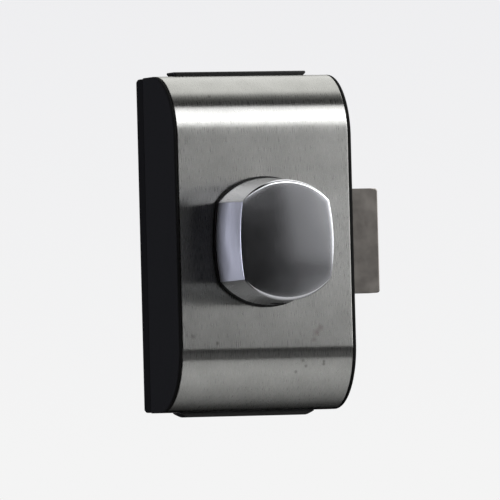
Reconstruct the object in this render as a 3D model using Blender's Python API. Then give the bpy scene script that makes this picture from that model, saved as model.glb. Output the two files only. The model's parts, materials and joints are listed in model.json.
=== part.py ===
# Knob side of a glass door lock: a bent sheet cover between two moulded cheeks, closed at the
# back by a base plate and a rubber gasket. Inside, the knob's spindle carries a pinion that
# drives a forked deadbolt through the rack in its tail.
# The origin is on the knob's axis at the glass face, +X points to the bolt, -Y to the user.
# The bolt is modelled thrown.

import math
from collections import namedtuple

import bmesh
import bpy
from mathutils import Matrix, Vector

MM = 0.001

# Cover and cheeks
COVER_HEIGHT = 104.0 * MM
COVER_WIDTH = 58.2 * MM
LOCK_DEPTH = 35.5 * MM  # glass face to the front of the cover
SIDE_FLAT = 8.6 * MM  # straight run of the sheet behind each bend
SHEET = 1.2 * MM
SPINDLE_HOLE_RADIUS = 8.2 * MM
CHEEK_RIM = 1.0 * MM  # cheek outside the sheet's edge
CHEEK_PLATE = 2.0 * MM
CHEEK_LIP_DEPTH = 2.8 * MM
CHEEK_LIP_WALL = 1.5 * MM
CHEEK_EDGE_ROUND = 0.6 * MM
CHEEK_RIB_HEIGHT = 0.8 * MM
CHEEK_RIB_WIDTH = 1.2 * MM
CHEEK_RIB_SETBACK = 19.0 * MM  # from the cover's ends
CHEEK_BOSS_RADIUS = 2.9 * MM
CHEEK_BOSS_LENGTH = 9.0 * MM
CHEEK_SCREW_SETBACK = 12.0 * MM  # from the cover's ends
BOLT_SLOT_ROUND = 0.8 * MM

# Base plate and gasket
GASKET_THICKNESS = 1.4 * MM
BASE_THICKNESS = 5.2 * MM
BASE_INSET = 0.2 * MM  # the plate stands this far inside the cheeks' outline
BASE_CORNER = 0.8 * MM
GASKET_INSET = 0.5 * MM
TAILPIECE_HOLE_RADIUS = 8.5 * MM
THROUGH_BOLT_SPAN = 72.0 * MM
THROUGH_BOLT_HOLE_RADIUS = 2.5 * MM
THROUGH_BOLT_BOSS_RADIUS = 5.0 * MM
THROUGH_BOLT_BOSS_LENGTH = 8.0 * MM
THROUGH_BOLT_HOLE_FLOOR = 1.5 * MM
PILLAR_RADIUS = 3.6 * MM
PILLAR_HEIGHT = 5.5 * MM  # they carry the lock case on the base plate
TAB_WIDTH = 16.0 * MM
TAB_THICKNESS = 2.5 * MM
TAB_SETBACK = 0.7 * MM  # the tab ends this far behind the bend
GUSSET_DROP = 5.0 * MM
GUSSET_WIDTH = 2.0 * MM

# Cap strips over the cover screws
CAP_LENGTH = 44.2 * MM
CAP_END_SLOPE = 1.5 * MM
CAP_SIDE_SLOPE = 0.4 * MM
CAP_THICKNESS = 1.2 * MM
CAP_MARGIN = 0.6 * MM  # sheet left bare in front of and behind a strip
CAP_CORNER = 1.2 * MM
CAP_PROFILE = ((0.0, 0.0), (0.15, 0.0), (0.85, 0.75), (1.0, 1.0))  # shares of height and slope
CAP_PEG_RADIUS = 1.1 * MM
CAP_PEG_LENGTH = 2.2 * MM
CAP_PEG_SPAN = 34.0 * MM

# Lock case
CASE_SETBACK = 4.4 * MM  # inside of the left cheek to the case
CASE_WALL = 2.0 * MM
CASE_FLANGE = 0.6 * MM
CASE_FLANGE_THICKNESS = 2.5 * MM
CASE_CORNER = 1.5 * MM
CASE_PLATE = 1.5 * MM
EAR_RADIUS = 3.6 * MM
EAR_REACH = 3.6 * MM  # case wall to the screw's axis
NECK_WALL = 1.8 * MM

# Deadbolt
BOLT_HEIGHT = 32.5 * MM
BOLT_THICKNESS = 8.5 * MM
BOLT_PROJECTION = 12.85 * MM
BOLT_NOSE_RADIUS = 0.9 * MM
BOLT_EDGE = 0.35 * MM
BOLT_SHOULDER = 2.4 * MM

# Rack and pinion
TOOTH_MODULE = 1.35 * MM
PINION_TEETH = 12
PRESSURE_ANGLE = math.radians(25)
ADDENDUM = 0.8  # modules
DEDENDUM = 1.05  # modules
BACKLASH = 0.2 * MM
KNOB_TURN = math.radians(90)
FORK_CLEARANCE = 0.6 * MM
PINION_INSET = 0.05 * MM  # behind the bolt's faces

# Spindle and its bush
SPINDLE_RADIUS = 4.8 * MM
SPINDLE_FLAT = 3.7 * MM  # axis to the flat
REAR_JOURNAL_RADIUS = 3.8 * MM
SPINDLE_TAIL = 4.2 * MM  # rear journal behind the case plate
TAIL_SLOT_WIDTH = 2.2 * MM
TAIL_SLOT_DEPTH = 2.2 * MM
BUSH_WALL = 1.3 * MM
BUSH_FLANGE = 1.1 * MM
CIRCLIP_THICKNESS = 0.8 * MM
CIRCLIP_RADIUS = 6.2 * MM
CIRCLIP_GROOVE = 0.8 * MM
CIRCLIP_OPENING = math.radians(70)

# Friction spring on the bolt
SPRING_WIDTH = 6.0 * MM
SPRING_STRIP = 0.5 * MM
SPRING_OFFSET = 14.0 * MM  # above the spindle's axis
SPRING_SCREW_X = -13.0 * MM
SPRING_TIP_X = 10.0 * MM
SPRING_DIP_START = 0.55  # shares of the way from its screw to its tip
SPRING_DIP_END = 0.95

# Knob
KNOB_HEIGHT = 20.0 * MM  # at the middle of its domed face
KNOB_CROWN = 0.9 * MM  # how far the face's rim lies behind its middle
KNOB_RADIUS = 19.75 * MM
KNOB_FLAT = 16.6 * MM  # axis to the middle of a flat, at the back
KNOB_BOW = 69.0 * MM  # radius of the flats' slight swell
KNOB_DRAFT = 1.3 * MM  # the radius lost towards the front
KNOB_FLAT_DRAFT = 1.5 * MM
KNOB_EDGE = 1.0 * MM
KNOB_WALL = 3.0 * MM
KNOB_FACE_WALL = 2.5 * MM
KNOB_BOSS_WALL = 2.2 * MM
KNOB_RIB = 1.8 * MM
KNOB_GRUB_RIB = 8.0 * MM
KNOB_RIB_RECESS = 2.2 * MM
SOCKET_DEPTH = 13.0 * MM
GRUB_SETBACK = 8.0 * MM
GRUB_LENGTH = 6.0 * MM
RING_THICKNESS = 0.6 * MM
RING_MARGIN = 0.6 * MM
RING_EDGE = 0.15 * MM
KNOB_REAR_EDGE = 0.2 * MM
SPIGOT_WALL = 1.4 * MM
SPIGOT_HEIGHT = 1.5 * MM

# Clearances
SEAT_GAP = 0.3 * MM  # between pieces that rest on each other
SEAM_GAP = 0.2 * MM  # between edges that meet in a seam
SLIDE_GAP = 0.25 * MM
SLOT_GAP = 0.4 * MM
JOURNAL_GAP = 0.08 * MM
SOCKET_GAP = 0.12 * MM
SCREW_GAP = 0.25 * MM
EMBED = 0.4 * MM  # how far a boss reaches into what carries it
OVERCUT = 1.0 * MM
AXIS_MARK = 10.0 * MM  # drawn size of an empty on a joint's axis

# Facets
BEND_STEPS = 14
ROUND_STEPS = 40
SCREW_STEPS = 16
CORNER_STEPS = 4
FLANK_STEPS = 3
SPRING_STEPS = 8
SOCKET_STEPS = 32
KNOB_ARC_STEPS = 20
KNOB_FLAT_STEPS = 6
CROWN_STEPS = 4
CROWN_SHARES = (1.0, 0.25)  # share of the face's outline at the rim and at the middle flat
SMOOTH_ANGLE = math.radians(32)

# Screws
COVER_HEAD_RADIUS = 2.35 * MM
COVER_HEAD_HEIGHT = 1.3 * MM
COVER_SHANK_RADIUS = 1.25 * MM
COVER_SCREW_LENGTH = 4.2 * MM
COVER_RECESS_ARM = 1.2 * MM
CHEEK_HEAD_RADIUS = 2.7 * MM
CHEEK_HEAD_HEIGHT = 1.6 * MM
CHEEK_SHANK_RADIUS = 1.4 * MM
CHEEK_SCREW_LENGTH = 12.3 * MM
CHEEK_RECESS_ARM = 1.5 * MM
CASE_HEAD_RADIUS = 2.7 * MM
CASE_HEAD_HEIGHT = 1.9 * MM
CASE_SHANK_RADIUS = 1.5 * MM
CASE_SCREW_LENGTH = 8.6 * MM
CASE_RECESS_ARM = 1.6 * MM
SPRING_HEAD_RADIUS = 1.9 * MM
SPRING_HEAD_HEIGHT = 1.2 * MM
SPRING_SHANK_RADIUS = 1.0 * MM
SPRING_SCREW_LENGTH = 2.9 * MM
SPRING_RECESS_ARM = 1.1 * MM
PAN_CROWN_RADIUS = 0.8  # share of a pan head's radius that its flat top covers
PAN_CROWN_HEIGHT = 0.35  # share of its height that its rounding takes
GRUB_RADIUS = 2.0 * MM
GRUB_SOCKET_RADIUS = 1.15 * MM
GRUB_SOCKET_DEPTH = 2.2 * MM
HEX_SIDES = 6
SCREW_LAND = 0.25 * MM
RECESS_HALF_WIDTH = 0.35 * MM
RECESS_DEPTH = 0.65  # share of the head's height
POINT_CHAMFER = 0.4 * MM

# Planes along Y, from the glass to the front
BASE_REAR = -(GASKET_THICKNESS + SEAM_GAP)
BASE_FRONT = BASE_REAR - BASE_THICKNESS
COVER_REAR = BASE_FRONT - SEAT_GAP
COVER_FRONT = -LOCK_DEPTH
SHEET_INNER = COVER_FRONT + SHEET
BEND_RADIUS = COVER_REAR - SIDE_FLAT - COVER_FRONT
FLAT_MIDDLE = COVER_REAR - SIDE_FLAT / 2
PILLAR_TOP = BASE_FRONT - PILLAR_HEIGHT
PLATE_REAR = PILLAR_TOP - SEAT_GAP
PLATE_FRONT = PLATE_REAR - CASE_PLATE
BOLT_REAR = PLATE_FRONT - SLIDE_GAP
BOLT_FRONT = BOLT_REAR - BOLT_THICKNESS
CASE_FLOOR = BOLT_FRONT - SLIDE_GAP
CASE_FACE = CASE_FLOOR - CASE_WALL
CASE_RIM = PLATE_FRONT - SEAT_GAP
EAR_FACE = CASE_RIM - CASE_FLANGE_THICKNESS
RING_REAR = COVER_FRONT - SEAT_GAP
RING_FRONT = RING_REAR - RING_THICKNESS
KNOB_REAR = RING_FRONT - SEAM_GAP

# Places across the lock
HALF_HEIGHT = COVER_HEIGHT / 2
CHEEK_OUTER = COVER_WIDTH / 2
CHEEK_FLANGE = CHEEK_OUTER - CHEEK_RIM
CHEEK_INNER = CHEEK_OUTER - CHEEK_PLATE
SHEET_EDGE = CHEEK_FLANGE - SEAM_GAP
SHEET_UNDERSIDE = HALF_HEIGHT - SHEET
PITCH = math.pi * TOOTH_MODULE
PITCH_RADIUS = TOOTH_MODULE * PINION_TEETH / 2
TIP_RADIUS = PITCH_RADIUS + ADDENDUM * TOOTH_MODULE
ROOT_RADIUS = PITCH_RADIUS - DEDENDUM * TOOTH_MODULE
THROW = PITCH_RADIUS * KNOB_TURN
CASE_RIGHT = CHEEK_INNER - SEAT_GAP - CASE_FLANGE
CASE_LEFT = CASE_SETBACK - CHEEK_INNER
TAIL_END = CASE_LEFT + CASE_WALL + SLIDE_GAP + THROW
SHOULDER = CASE_RIGHT - CASE_WALL - SLIDE_GAP
TAIL_HALF = BOLT_HEIGHT / 2 + BOLT_SHOULDER
CASE_HALF = TAIL_HALF + SLIDE_GAP + CASE_WALL
EAR_LEVEL = CASE_HALF + EAR_REACH
EAR_PLACES = (CASE_LEFT + EAR_RADIUS, CASE_RIGHT - EAR_RADIUS)
BUSH_RADIUS = SPINDLE_RADIUS + JOURNAL_GAP + BUSH_WALL
NECK_BORE = BUSH_RADIUS + SOCKET_GAP
NECK_RADIUS = NECK_BORE + NECK_WALL
NECK_FRONT = SHEET_INNER + SEAT_GAP
CHEEK_BOSS_X = CHEEK_INNER - CHEEK_BOSS_RADIUS
CHEEK_BOSS_TIP = COVER_REAR - CHEEK_BOSS_LENGTH
CHEEK_SCREW_LEVEL = HALF_HEIGHT - CHEEK_SCREW_SETBACK
BOSS_BORE = SPINDLE_RADIUS + SOCKET_GAP
TAB_TOP = SHEET_UNDERSIDE - SEAT_GAP
TAB_TIP = COVER_REAR - SIDE_FLAT + TAB_SETBACK

# Screws as make_screws takes them
Screw = namedtuple("Screw", "head_radius head_height shank_radius length recess_arm countersunk")
COVER_SCREW = Screw(
    COVER_HEAD_RADIUS,
    COVER_HEAD_HEIGHT,
    COVER_SHANK_RADIUS,
    COVER_SCREW_LENGTH,
    COVER_RECESS_ARM,
    True,
)
CHEEK_SCREW = Screw(
    CHEEK_HEAD_RADIUS,
    CHEEK_HEAD_HEIGHT,
    CHEEK_SHANK_RADIUS,
    CHEEK_SCREW_LENGTH,
    CHEEK_RECESS_ARM,
    True,
)
CASE_SCREW = Screw(
    CASE_HEAD_RADIUS,
    CASE_HEAD_HEIGHT,
    CASE_SHANK_RADIUS,
    CASE_SCREW_LENGTH,
    CASE_RECESS_ARM,
    False,
)
SPRING_SCREW = Screw(
    SPRING_HEAD_RADIUS,
    SPRING_HEAD_HEIGHT,
    SPRING_SHANK_RADIUS,
    SPRING_SCREW_LENGTH,
    SPRING_RECESS_ARM,
    False,
)


def clear_scene():
    for obj in list(bpy.data.objects):
        bpy.data.objects.remove(obj, do_unlink=True)


def make_finish(name, colour, metallic, roughness):
    finish = bpy.data.materials.new(name)
    finish.use_nodes = True
    shader = finish.node_tree.nodes["Principled BSDF"]
    shader.inputs["Base Color"].default_value = (*colour, 1.0)
    shader.inputs["Metallic"].default_value = metallic
    shader.inputs["Roughness"].default_value = roughness
    finish.diffuse_color = (*colour, 1.0)
    return finish


# Outlines are lists of (u, v) pairs


def arc(centre, radius, start, end, steps):
    """Points on an arc, with angles from +u towards +v."""
    points = []
    for step in range(steps + 1):
        angle = start + (end - start) * step / steps
        points.append((centre[0] + radius * math.cos(angle), centre[1] + radius * math.sin(angle)))
    return points


def circle(radius, steps=ROUND_STEPS, centre=(0, 0)):
    return arc(centre, radius, 0, 2 * math.pi, steps)[:-1]


def rectangle(left, right, bottom, top, corner=0.0):
    """A rectangle, with rounded corners if corner is above 0."""
    if corner <= 0:
        return [(left, bottom), (right, bottom), (right, top), (left, top)]
    corners = (
        ((right - corner, bottom + corner), -90),
        ((right - corner, top - corner), 0),
        ((left + corner, top - corner), 90),
        ((left + corner, bottom + corner), 180),
    )
    points = []
    for centre, start in corners:
        first = math.radians(start)
        points += arc(centre, corner, first, first + math.pi / 2, CORNER_STEPS)
    return points


def cover_path(inset):
    """The cover's section in (y, z), from its lower rear edge round the front to its upper one."""
    radius = BEND_RADIUS - inset
    centre_y = COVER_FRONT + BEND_RADIUS
    centre_z = HALF_HEIGHT - BEND_RADIUS
    quarter = math.pi / 2
    path = [(COVER_REAR, -(HALF_HEIGHT - inset))]
    path += arc((centre_y, -centre_z), radius, -quarter, -2 * quarter, BEND_STEPS)
    path += arc((centre_y, centre_z), radius, 2 * quarter, quarter, BEND_STEPS)
    path.append((COVER_REAR, HALF_HEIGHT - inset))
    return path


def cover_band(outer_inset, inner_inset):
    """A C-shaped band between two offsets of the cover's section."""
    return cover_path(outer_inset) + cover_path(inner_inset)[::-1]


def knob_outline(radius, flat):
    """A circle cut by two slightly swollen sides, in (x, z). Every size has the same point count."""
    offset = KNOB_BOW - flat
    corner_x = (KNOB_BOW**2 - radius**2 - offset**2) / (2 * offset)
    corner_z = math.sqrt(radius**2 - corner_x**2)
    reach = math.asin(corner_z / KNOB_BOW)
    corner = math.atan2(corner_z, corner_x)
    right = arc((-offset, 0), KNOB_BOW, -reach, reach, KNOB_FLAT_STEPS)
    top = arc((0, 0), radius, corner, math.pi - corner, KNOB_ARC_STEPS)
    left = [(-x, -z) for x, z in right]
    bottom = [(-x, -z) for x, z in top]
    return right + top[1:-1] + left + bottom[1:-1]


def case_outline():
    """The case's flange with an ear at each corner, in (x, z)."""
    left, right, edge = CASE_LEFT - CASE_FLANGE, CASE_RIGHT + CASE_FLANGE, CASE_HALF + CASE_FLANGE
    top = []
    for x in reversed(EAR_PLACES):
        top.append((x + EAR_RADIUS, edge))
        top += arc((x, EAR_LEVEL), EAR_RADIUS, 0, math.pi, 3 * CORNER_STEPS)
        top.append((x - EAR_RADIUS, edge))
    bottom = [(x, -z) for x, z in reversed(top)]
    return [(right, -edge), (right, edge)] + top + [(left, edge), (left, -edge)] + bottom


def pinion_outline():
    """Involute teeth in (x, z), with one tooth pointing up."""
    base_radius = PITCH_RADIUS * math.cos(PRESSURE_ANGLE)
    half_tooth = (PITCH - BACKLASH) / 4 / PITCH_RADIUS
    flank = [(ROOT_RADIUS, base_radius)]
    for step in range(FLANK_STEPS + 1):
        radius = base_radius + (TIP_RADIUS - base_radius) * step / FLANK_STEPS
        flank.append((radius, radius))
    tooth = []
    for radius, involute_radius in flank:
        pressure = math.acos(base_radius / involute_radius)
        rolled = math.tan(pressure) - pressure
        at_pitch = math.tan(PRESSURE_ANGLE) - PRESSURE_ANGLE
        tooth.append((radius, half_tooth + at_pitch - rolled))
    points = []
    for index in range(PINION_TEETH):
        middle = 2 * math.pi * index / PINION_TEETH
        for radius, half in tooth:
            points.append((radius * math.sin(middle - half), radius * math.cos(middle - half)))
        for radius, half in reversed(tooth):
            points.append((radius * math.sin(middle + half), radius * math.cos(middle + half)))
    return points


def rack_teeth(left, right):
    """The rack's edge in (x, z) from right to left, with a space over the pinion's upright tooth."""
    tip_z = PITCH_RADIUS - ADDENDUM * TOOTH_MODULE
    root_z = PITCH_RADIUS + DEDENDUM * TOOTH_MODULE
    slope = math.tan(PRESSURE_ANGLE)
    half_pitch_line = (PITCH - BACKLASH) / 4
    half_tip = half_pitch_line - ADDENDUM * TOOTH_MODULE * slope
    half_root = half_pitch_line + DEDENDUM * TOOTH_MODULE * slope
    first = math.ceil((left + half_root) / PITCH - 0.5)
    last = math.floor((right - half_root) / PITCH - 0.5)
    points = [(right, root_z)]
    for index in range(last, first - 1, -1):
        middle = (index + 0.5) * PITCH
        points += [(middle + half_root, root_z), (middle + half_tip, tip_z)]
        points += [(middle - half_tip, tip_z), (middle - half_root, root_z)]
    points.append((left, root_z))
    return points


def bolt_outline():
    """The deadbolt in (x, z): a plain head, a taller tail, and a fork round the pinion."""
    nose = CHEEK_OUTER + BOLT_PROJECTION
    half = BOLT_HEIGHT / 2
    fork_end = THROW + TIP_RADIUS + FORK_CLEARANCE
    fork_floor = -(TIP_RADIUS + FORK_CLEARANCE)
    round_off = BOLT_NOSE_RADIUS
    quarter = math.pi / 2
    head = [(SHOULDER, -TAIL_HALF), (SHOULDER, -half)]
    head += arc((nose - round_off, -half + round_off), round_off, -quarter, 0, CORNER_STEPS)
    head += arc((nose - round_off, half - round_off), round_off, 0, quarter, CORNER_STEPS)
    head += [(SHOULDER, half), (SHOULDER, TAIL_HALF), (TAIL_END, TAIL_HALF)]
    rack = rack_teeth(TAIL_END, fork_end)[::-1]
    return head + rack + [(fork_end, fork_floor), (TAIL_END, fork_floor), (TAIL_END, -TAIL_HALF)]


def spring_path():
    """The leaf spring's middle line in (x, y): clamped flat, then dipping to the bolt."""
    rest = CASE_FACE - SEAT_GAP - SPRING_STRIP / 2
    touch = BOLT_FRONT - SEAT_GAP - SPRING_STRIP / 2
    run = SPRING_TIP_X - SPRING_SCREW_X
    dip_start = SPRING_SCREW_X + SPRING_DIP_START * run
    dip_run = (SPRING_DIP_END - SPRING_DIP_START) * run
    path = [(SPRING_SCREW_X - SPRING_SCREW.head_radius - SPRING_STRIP, rest), (dip_start, rest)]
    for step in range(1, SPRING_STEPS + 1):
        share = step / SPRING_STEPS
        ease = (1 - math.cos(math.pi * share)) / 2
        path.append((dip_start + dip_run * share, rest + (touch - rest) * ease))
    path.append((SPRING_TIP_X, touch))
    path.append((SPRING_TIP_X + 3 * SPRING_STRIP, touch - 2 * SPRING_STRIP))
    return path


def thickened(path, thickness):
    """A closed outline that follows an open path at half the thickness on each side."""
    left, right = [], []
    for index, (u, v) in enumerate(path):
        before = path[max(index - 1, 0)]
        after = path[min(index + 1, len(path) - 1)]
        along = Vector((after[0] - before[0], after[1] - before[1])).normalized()
        side = Vector((-along.y, along.x)) * thickness / 2
        left.append((u + side.x, v + side.y))
        right.append((u - side.x, v - side.y))
    return left + right[::-1]


# Solids are bmeshes in the space of the object that they become


def prism(outline, low, high, axis="Y"):
    """An outline extruded along an axis from low to high."""
    order = {"X": (2, 0, 1), "Y": (0, 2, 1), "Z": (0, 1, 2)}[axis]
    bm = bmesh.new()
    verts = []
    for u, v in outline:
        values = (u, v, low)
        verts.append(bm.verts.new([values[slot] for slot in order]))
    face = bm.faces.new(verts)
    grown = bmesh.ops.extrude_face_region(bm, geom=[face])
    travel = Vector((0, 0, 0))
    travel["XYZ".index(axis)] = high - low
    moved = [item for item in grown["geom"] if isinstance(item, bmesh.types.BMVert)]
    bmesh.ops.translate(bm, verts=moved, vec=travel)
    bmesh.ops.recalc_face_normals(bm, faces=bm.faces)
    return bm


def loft(sections):
    """Skins equally long rings of 3-D points and caps both ends."""
    bm = bmesh.new()
    rings = [[bm.verts.new(point) for point in section] for section in sections]
    for near, far in zip(rings, rings[1:]):
        for index in range(len(near)):
            following = (index + 1) % len(near)
            bm.faces.new((near[index], near[following], far[following], far[index]))
    bm.faces.new(rings[0])
    bm.faces.new(rings[-1][::-1])
    bmesh.ops.recalc_face_normals(bm, faces=bm.faces)
    return bm


def turned(profile, steps=ROUND_STEPS, closed=False):
    """A profile of (radius, y) pairs spun round the Y axis. An open one starts and ends on it."""
    bm = bmesh.new()
    verts = [bm.verts.new((radius, along, 0)) for radius, along in profile]
    pairs = list(zip(verts, verts[1:]))
    if closed:
        pairs.append((verts[-1], verts[0]))
    edges = [bm.edges.new(pair) for pair in pairs]
    bmesh.ops.spin(
        bm, geom=verts + edges, axis=(0, 1, 0), cent=(0, 0, 0), angle=2 * math.pi, steps=steps,
        use_merge=True,
    )
    bmesh.ops.remove_doubles(bm, verts=bm.verts, dist=1e-7)
    bmesh.ops.recalc_face_normals(bm, faces=bm.faces)
    return bm


def rod(radius, low, high, steps=ROUND_STEPS):
    return prism(circle(radius, steps), low, high)


def box(low, high):
    return prism(rectangle(low[0], high[0], low[2], high[2]), low[1], high[1])


def placed(bm, location=(0, 0, 0), turn=0.0, axis="X"):
    matrix = Matrix.Translation(location) @ Matrix.Rotation(turn, 4, axis)
    bmesh.ops.transform(bm, matrix=matrix, verts=bm.verts)
    return bm


def together(solids):
    """Separate solids in one bmesh, for one Boolean."""
    joined = bmesh.new()
    for bm in solids:
        mesh = bpy.data.meshes.new("step")
        bm.to_mesh(mesh)
        bm.free()
        joined.from_mesh(mesh)
        bpy.data.meshes.remove(mesh)
    return joined


# Objects


def make_object(name, bm, parent=None, location=(0, 0, 0)):
    mesh = bpy.data.meshes.new(name)
    bm.to_mesh(mesh)
    bm.free()
    obj = bpy.data.objects.new(name, mesh)
    bpy.context.scene.collection.objects.link(obj)
    obj.parent = parent
    obj.location = location
    return obj


def make_part(name, bm, finish, parent=None, location=(0, 0, 0)):
    obj = make_object(name, bm, parent, location)
    obj.data.materials.append(finish)
    obj.data.shade_smooth()
    obj.data.set_sharp_from_angle(angle=SMOOTH_ANGLE)
    return obj


def make_axis(name, location):
    """An empty on a joint's axis, which carries the pieces that move with it."""
    axis = bpy.data.objects.new(name, None)
    axis.location = location
    axis.empty_display_size = AXIS_MARK
    bpy.context.scene.collection.objects.link(axis)
    return axis


def combine(obj, bm, operation):
    """Joins a helper shape to an object, or cuts it out, with a Boolean modifier."""
    helper = make_object(f"{obj.name}_{operation.lower()}_{len(obj.modifiers)}", bm, obj)
    helper.hide_render = True
    helper.display_type = "WIRE"
    modifier = obj.modifiers.new(operation.title(), "BOOLEAN")
    modifier.operation = operation
    modifier.object = helper
    modifier.solver = "EXACT"


def fuse(obj, *solids):
    combine(obj, together(solids), "UNION")


def cut(obj, *solids):
    combine(obj, together(solids), "DIFFERENCE")


def settled_mesh(obj):
    """The object's mesh with its modifiers applied, for copies to share."""
    bpy.context.view_layer.update()
    graph = bpy.context.evaluated_depsgraph_get()
    mesh = bpy.data.meshes.new_from_object(obj.evaluated_get(graph))
    mesh.name = obj.name
    for modifier in list(obj.modifiers):
        helper = modifier.object
        obj.modifiers.remove(modifier)
        bpy.data.objects.remove(helper, do_unlink=True)
    obj.data = mesh
    return mesh


# Screws run along +Y from the head's outer face


def screw_blank(screw):
    head, height = screw.head_radius, screw.head_height
    shank, length = screw.shank_radius, screw.length
    if screw.countersunk:
        profile = [(0, 0), (head, 0), (head, SCREW_LAND), (shank, height)]
    else:
        profile = [(0, 0), (PAN_CROWN_RADIUS * head, 0), (head, PAN_CROWN_HEIGHT * height)]
        profile += [(head, height), (shank, height)]
    profile += [(shank, length - POINT_CHAMFER), (shank - POINT_CHAMFER, length), (0, length)]
    return turned(profile, SCREW_STEPS)


def screw_hole(screw, depth, sink=0.0):
    """The cutter for a countersunk screw whose head face is at y = 0."""
    wide, narrow = screw.head_radius + SCREW_GAP, screw.shank_radius + SCREW_GAP
    profile = [(0, -sink), (wide, -sink), (wide, SCREW_LAND + SCREW_GAP)]
    profile += [(narrow, screw.head_height + SCREW_GAP), (narrow, depth), (0, depth)]
    return turned(profile, SCREW_STEPS)


def cross_recess(screw):
    arm = screw.recess_arm
    half = RECESS_HALF_WIDTH
    outline = [(arm, -half), (arm, half), (half, half), (half, arm), (-half, arm), (-half, half)]
    outline += [(-u, -v) for u, v in outline]
    return prism(outline, -OVERCUT, RECESS_DEPTH * screw.head_height)


def make_screws(screw, finish, places):
    """One object for each (name, location, rotation), all on one mesh."""
    first_name, first_location, first_rotation = places[0]
    first = make_part(first_name, screw_blank(screw), finish)
    cut(first, cross_recess(screw))
    mesh = settled_mesh(first)
    first.location, first.rotation_euler = first_location, first_rotation
    for name, location, rotation in places[1:]:
        copy = bpy.data.objects.new(name, mesh)
        copy.location, copy.rotation_euler = location, rotation
        bpy.context.scene.collection.objects.link(copy)


# Cover


def level_name(sign):
    return "top" if sign > 0 else "bottom"


def side_name(sign):
    return "right" if sign > 0 else "left"


def upward(sign):
    """The rotation that points a screw's +Y towards the lock's middle, from above or below."""
    return (-sign * math.pi / 2, 0, 0)


def make_cover(steel):
    cover = make_part("cover_shell", prism(cover_band(0, SHEET), -SHEET_EDGE, SHEET_EDGE, "X"), steel)
    cut(cover, rod(SPINDLE_HOLE_RADIUS, COVER_FRONT - OVERCUT, SHEET_INNER + OVERCUT))
    holes = []
    for sign in (-1, 1):
        screw = screw_hole(COVER_SCREW, SHEET + OVERCUT, OVERCUT)
        holes.append(placed(screw, (0, FLAT_MIDDLE, sign * HALF_HEIGHT), -sign * math.pi / 2))
        for side in (-1, 1):
            peg = rod(CAP_PEG_RADIUS + SCREW_GAP, -OVERCUT, SHEET + OVERCUT, SCREW_STEPS)
            peg_place = (side * CAP_PEG_SPAN / 2, FLAT_MIDDLE, sign * HALF_HEIGHT)
            holes.append(placed(peg, peg_place, -sign * math.pi / 2))
    cut(cover, *holes)


def make_cap(sign, plastic):
    """A strip that hides a cover screw. Its +Z faces away from the sheet."""
    half_width = SIDE_FLAT / 2 - CAP_MARGIN
    sections = []
    for height, share in CAP_PROFILE:
        half_length = CAP_LENGTH / 2 - CAP_END_SLOPE * share
        half = half_width - CAP_SIDE_SLOPE * share
        ring = rectangle(-half_length, half_length, -half, half, CAP_CORNER)
        sections.append([(x, y, height * CAP_THICKNESS) for x, y in ring])
    cap = make_part(f"{level_name(sign)}_cap_strip", loft(sections), plastic)
    pegs = []
    for side in (-1, 1):
        peg = circle(CAP_PEG_RADIUS, SCREW_STEPS, (side * CAP_PEG_SPAN / 2, 0))
        pegs.append(prism(peg, -CAP_PEG_LENGTH, EMBED, "Z"))
    fuse(cap, *pegs)
    cap.location = (0, FLAT_MIDDLE, sign * (HALF_HEIGHT + SEAT_GAP))
    cap.rotation_euler = (0, 0 if sign > 0 else math.pi, 0)


def cheek_plate():
    """The cheek's flange, rounded along its outer edge, in the right cheek's place."""
    sections = [(CHEEK_FLANGE, 0.0)]
    for step in range(CORNER_STEPS + 1):
        angle = math.pi / 2 * step / CORNER_STEPS
        x = CHEEK_OUTER - CHEEK_EDGE_ROUND * (1 - math.sin(angle))
        sections.append((x, CHEEK_EDGE_ROUND * (1 - math.cos(angle))))
    return loft([[(x, y, z) for y, z in cover_path(inset)] for x, inset in sections])


def make_cheek(sign, plastic):
    """Modelled for the right and turned over for the left, so only the right has the bolt's slot."""
    cheek = make_part(f"{side_name(sign)}_cheek", cheek_plate(), plastic)
    fit = SHEET + SEAM_GAP
    lip_band = cover_band(fit, fit + CHEEK_LIP_WALL)
    lip = prism(lip_band, CHEEK_INNER - CHEEK_LIP_DEPTH, CHEEK_INNER + EMBED, "X")
    fuse(cheek, prism(cover_path(fit), CHEEK_INNER, CHEEK_FLANGE + EMBED, "X"))
    fuse(cheek, lip)
    bosses, holes, ribs = [], [], []
    for level in (-1, 1):
        z = level * CHEEK_SCREW_LEVEL
        boss = circle(CHEEK_BOSS_RADIUS, SCREW_STEPS, (CHEEK_BOSS_X + EMBED, z))
        bosses.append(prism(boss, CHEEK_BOSS_TIP, COVER_REAR))
        hole = screw_hole(CHEEK_SCREW, CHEEK_SCREW.length + SCREW_GAP)
        holes.append(placed(hole, (CHEEK_BOSS_X, BASE_REAR, z), math.pi, "Z"))
        rib_z = level * (HALF_HEIGHT - CHEEK_RIB_SETBACK)
        rib = (CHEEK_INNER - CHEEK_RIB_HEIGHT, SHEET_INNER + CHEEK_LIP_WALL, rib_z - CHEEK_RIB_WIDTH / 2)
        rib_end = (CHEEK_INNER + EMBED, COVER_REAR - CHEEK_RIB_WIDTH, rib_z + CHEEK_RIB_WIDTH / 2)
        ribs.append(box(rib, rib_end))
    fuse(cheek, *bosses)
    fuse(cheek, *ribs)
    cut(cheek, *holes)
    if sign > 0:
        half = BOLT_HEIGHT / 2 + SLOT_GAP
        slot = rectangle(BOLT_FRONT - SLOT_GAP, BOLT_REAR + SLOT_GAP, -half, half, BOLT_SLOT_ROUND)
        cut(cheek, prism(slot, CHEEK_INNER - OVERCUT, CHEEK_OUTER + OVERCUT, "X"))
    else:
        cheek.scale = (-1, 1, 1)


# Base plate and gasket


def through_bolt_hole(radius, low, high):
    holes = []
    for sign in (-1, 1):
        hole = circle(radius, SCREW_STEPS, (0, sign * THROUGH_BOLT_SPAN / 2))
        holes.append(prism(hole, low, high))
    return holes


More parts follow.
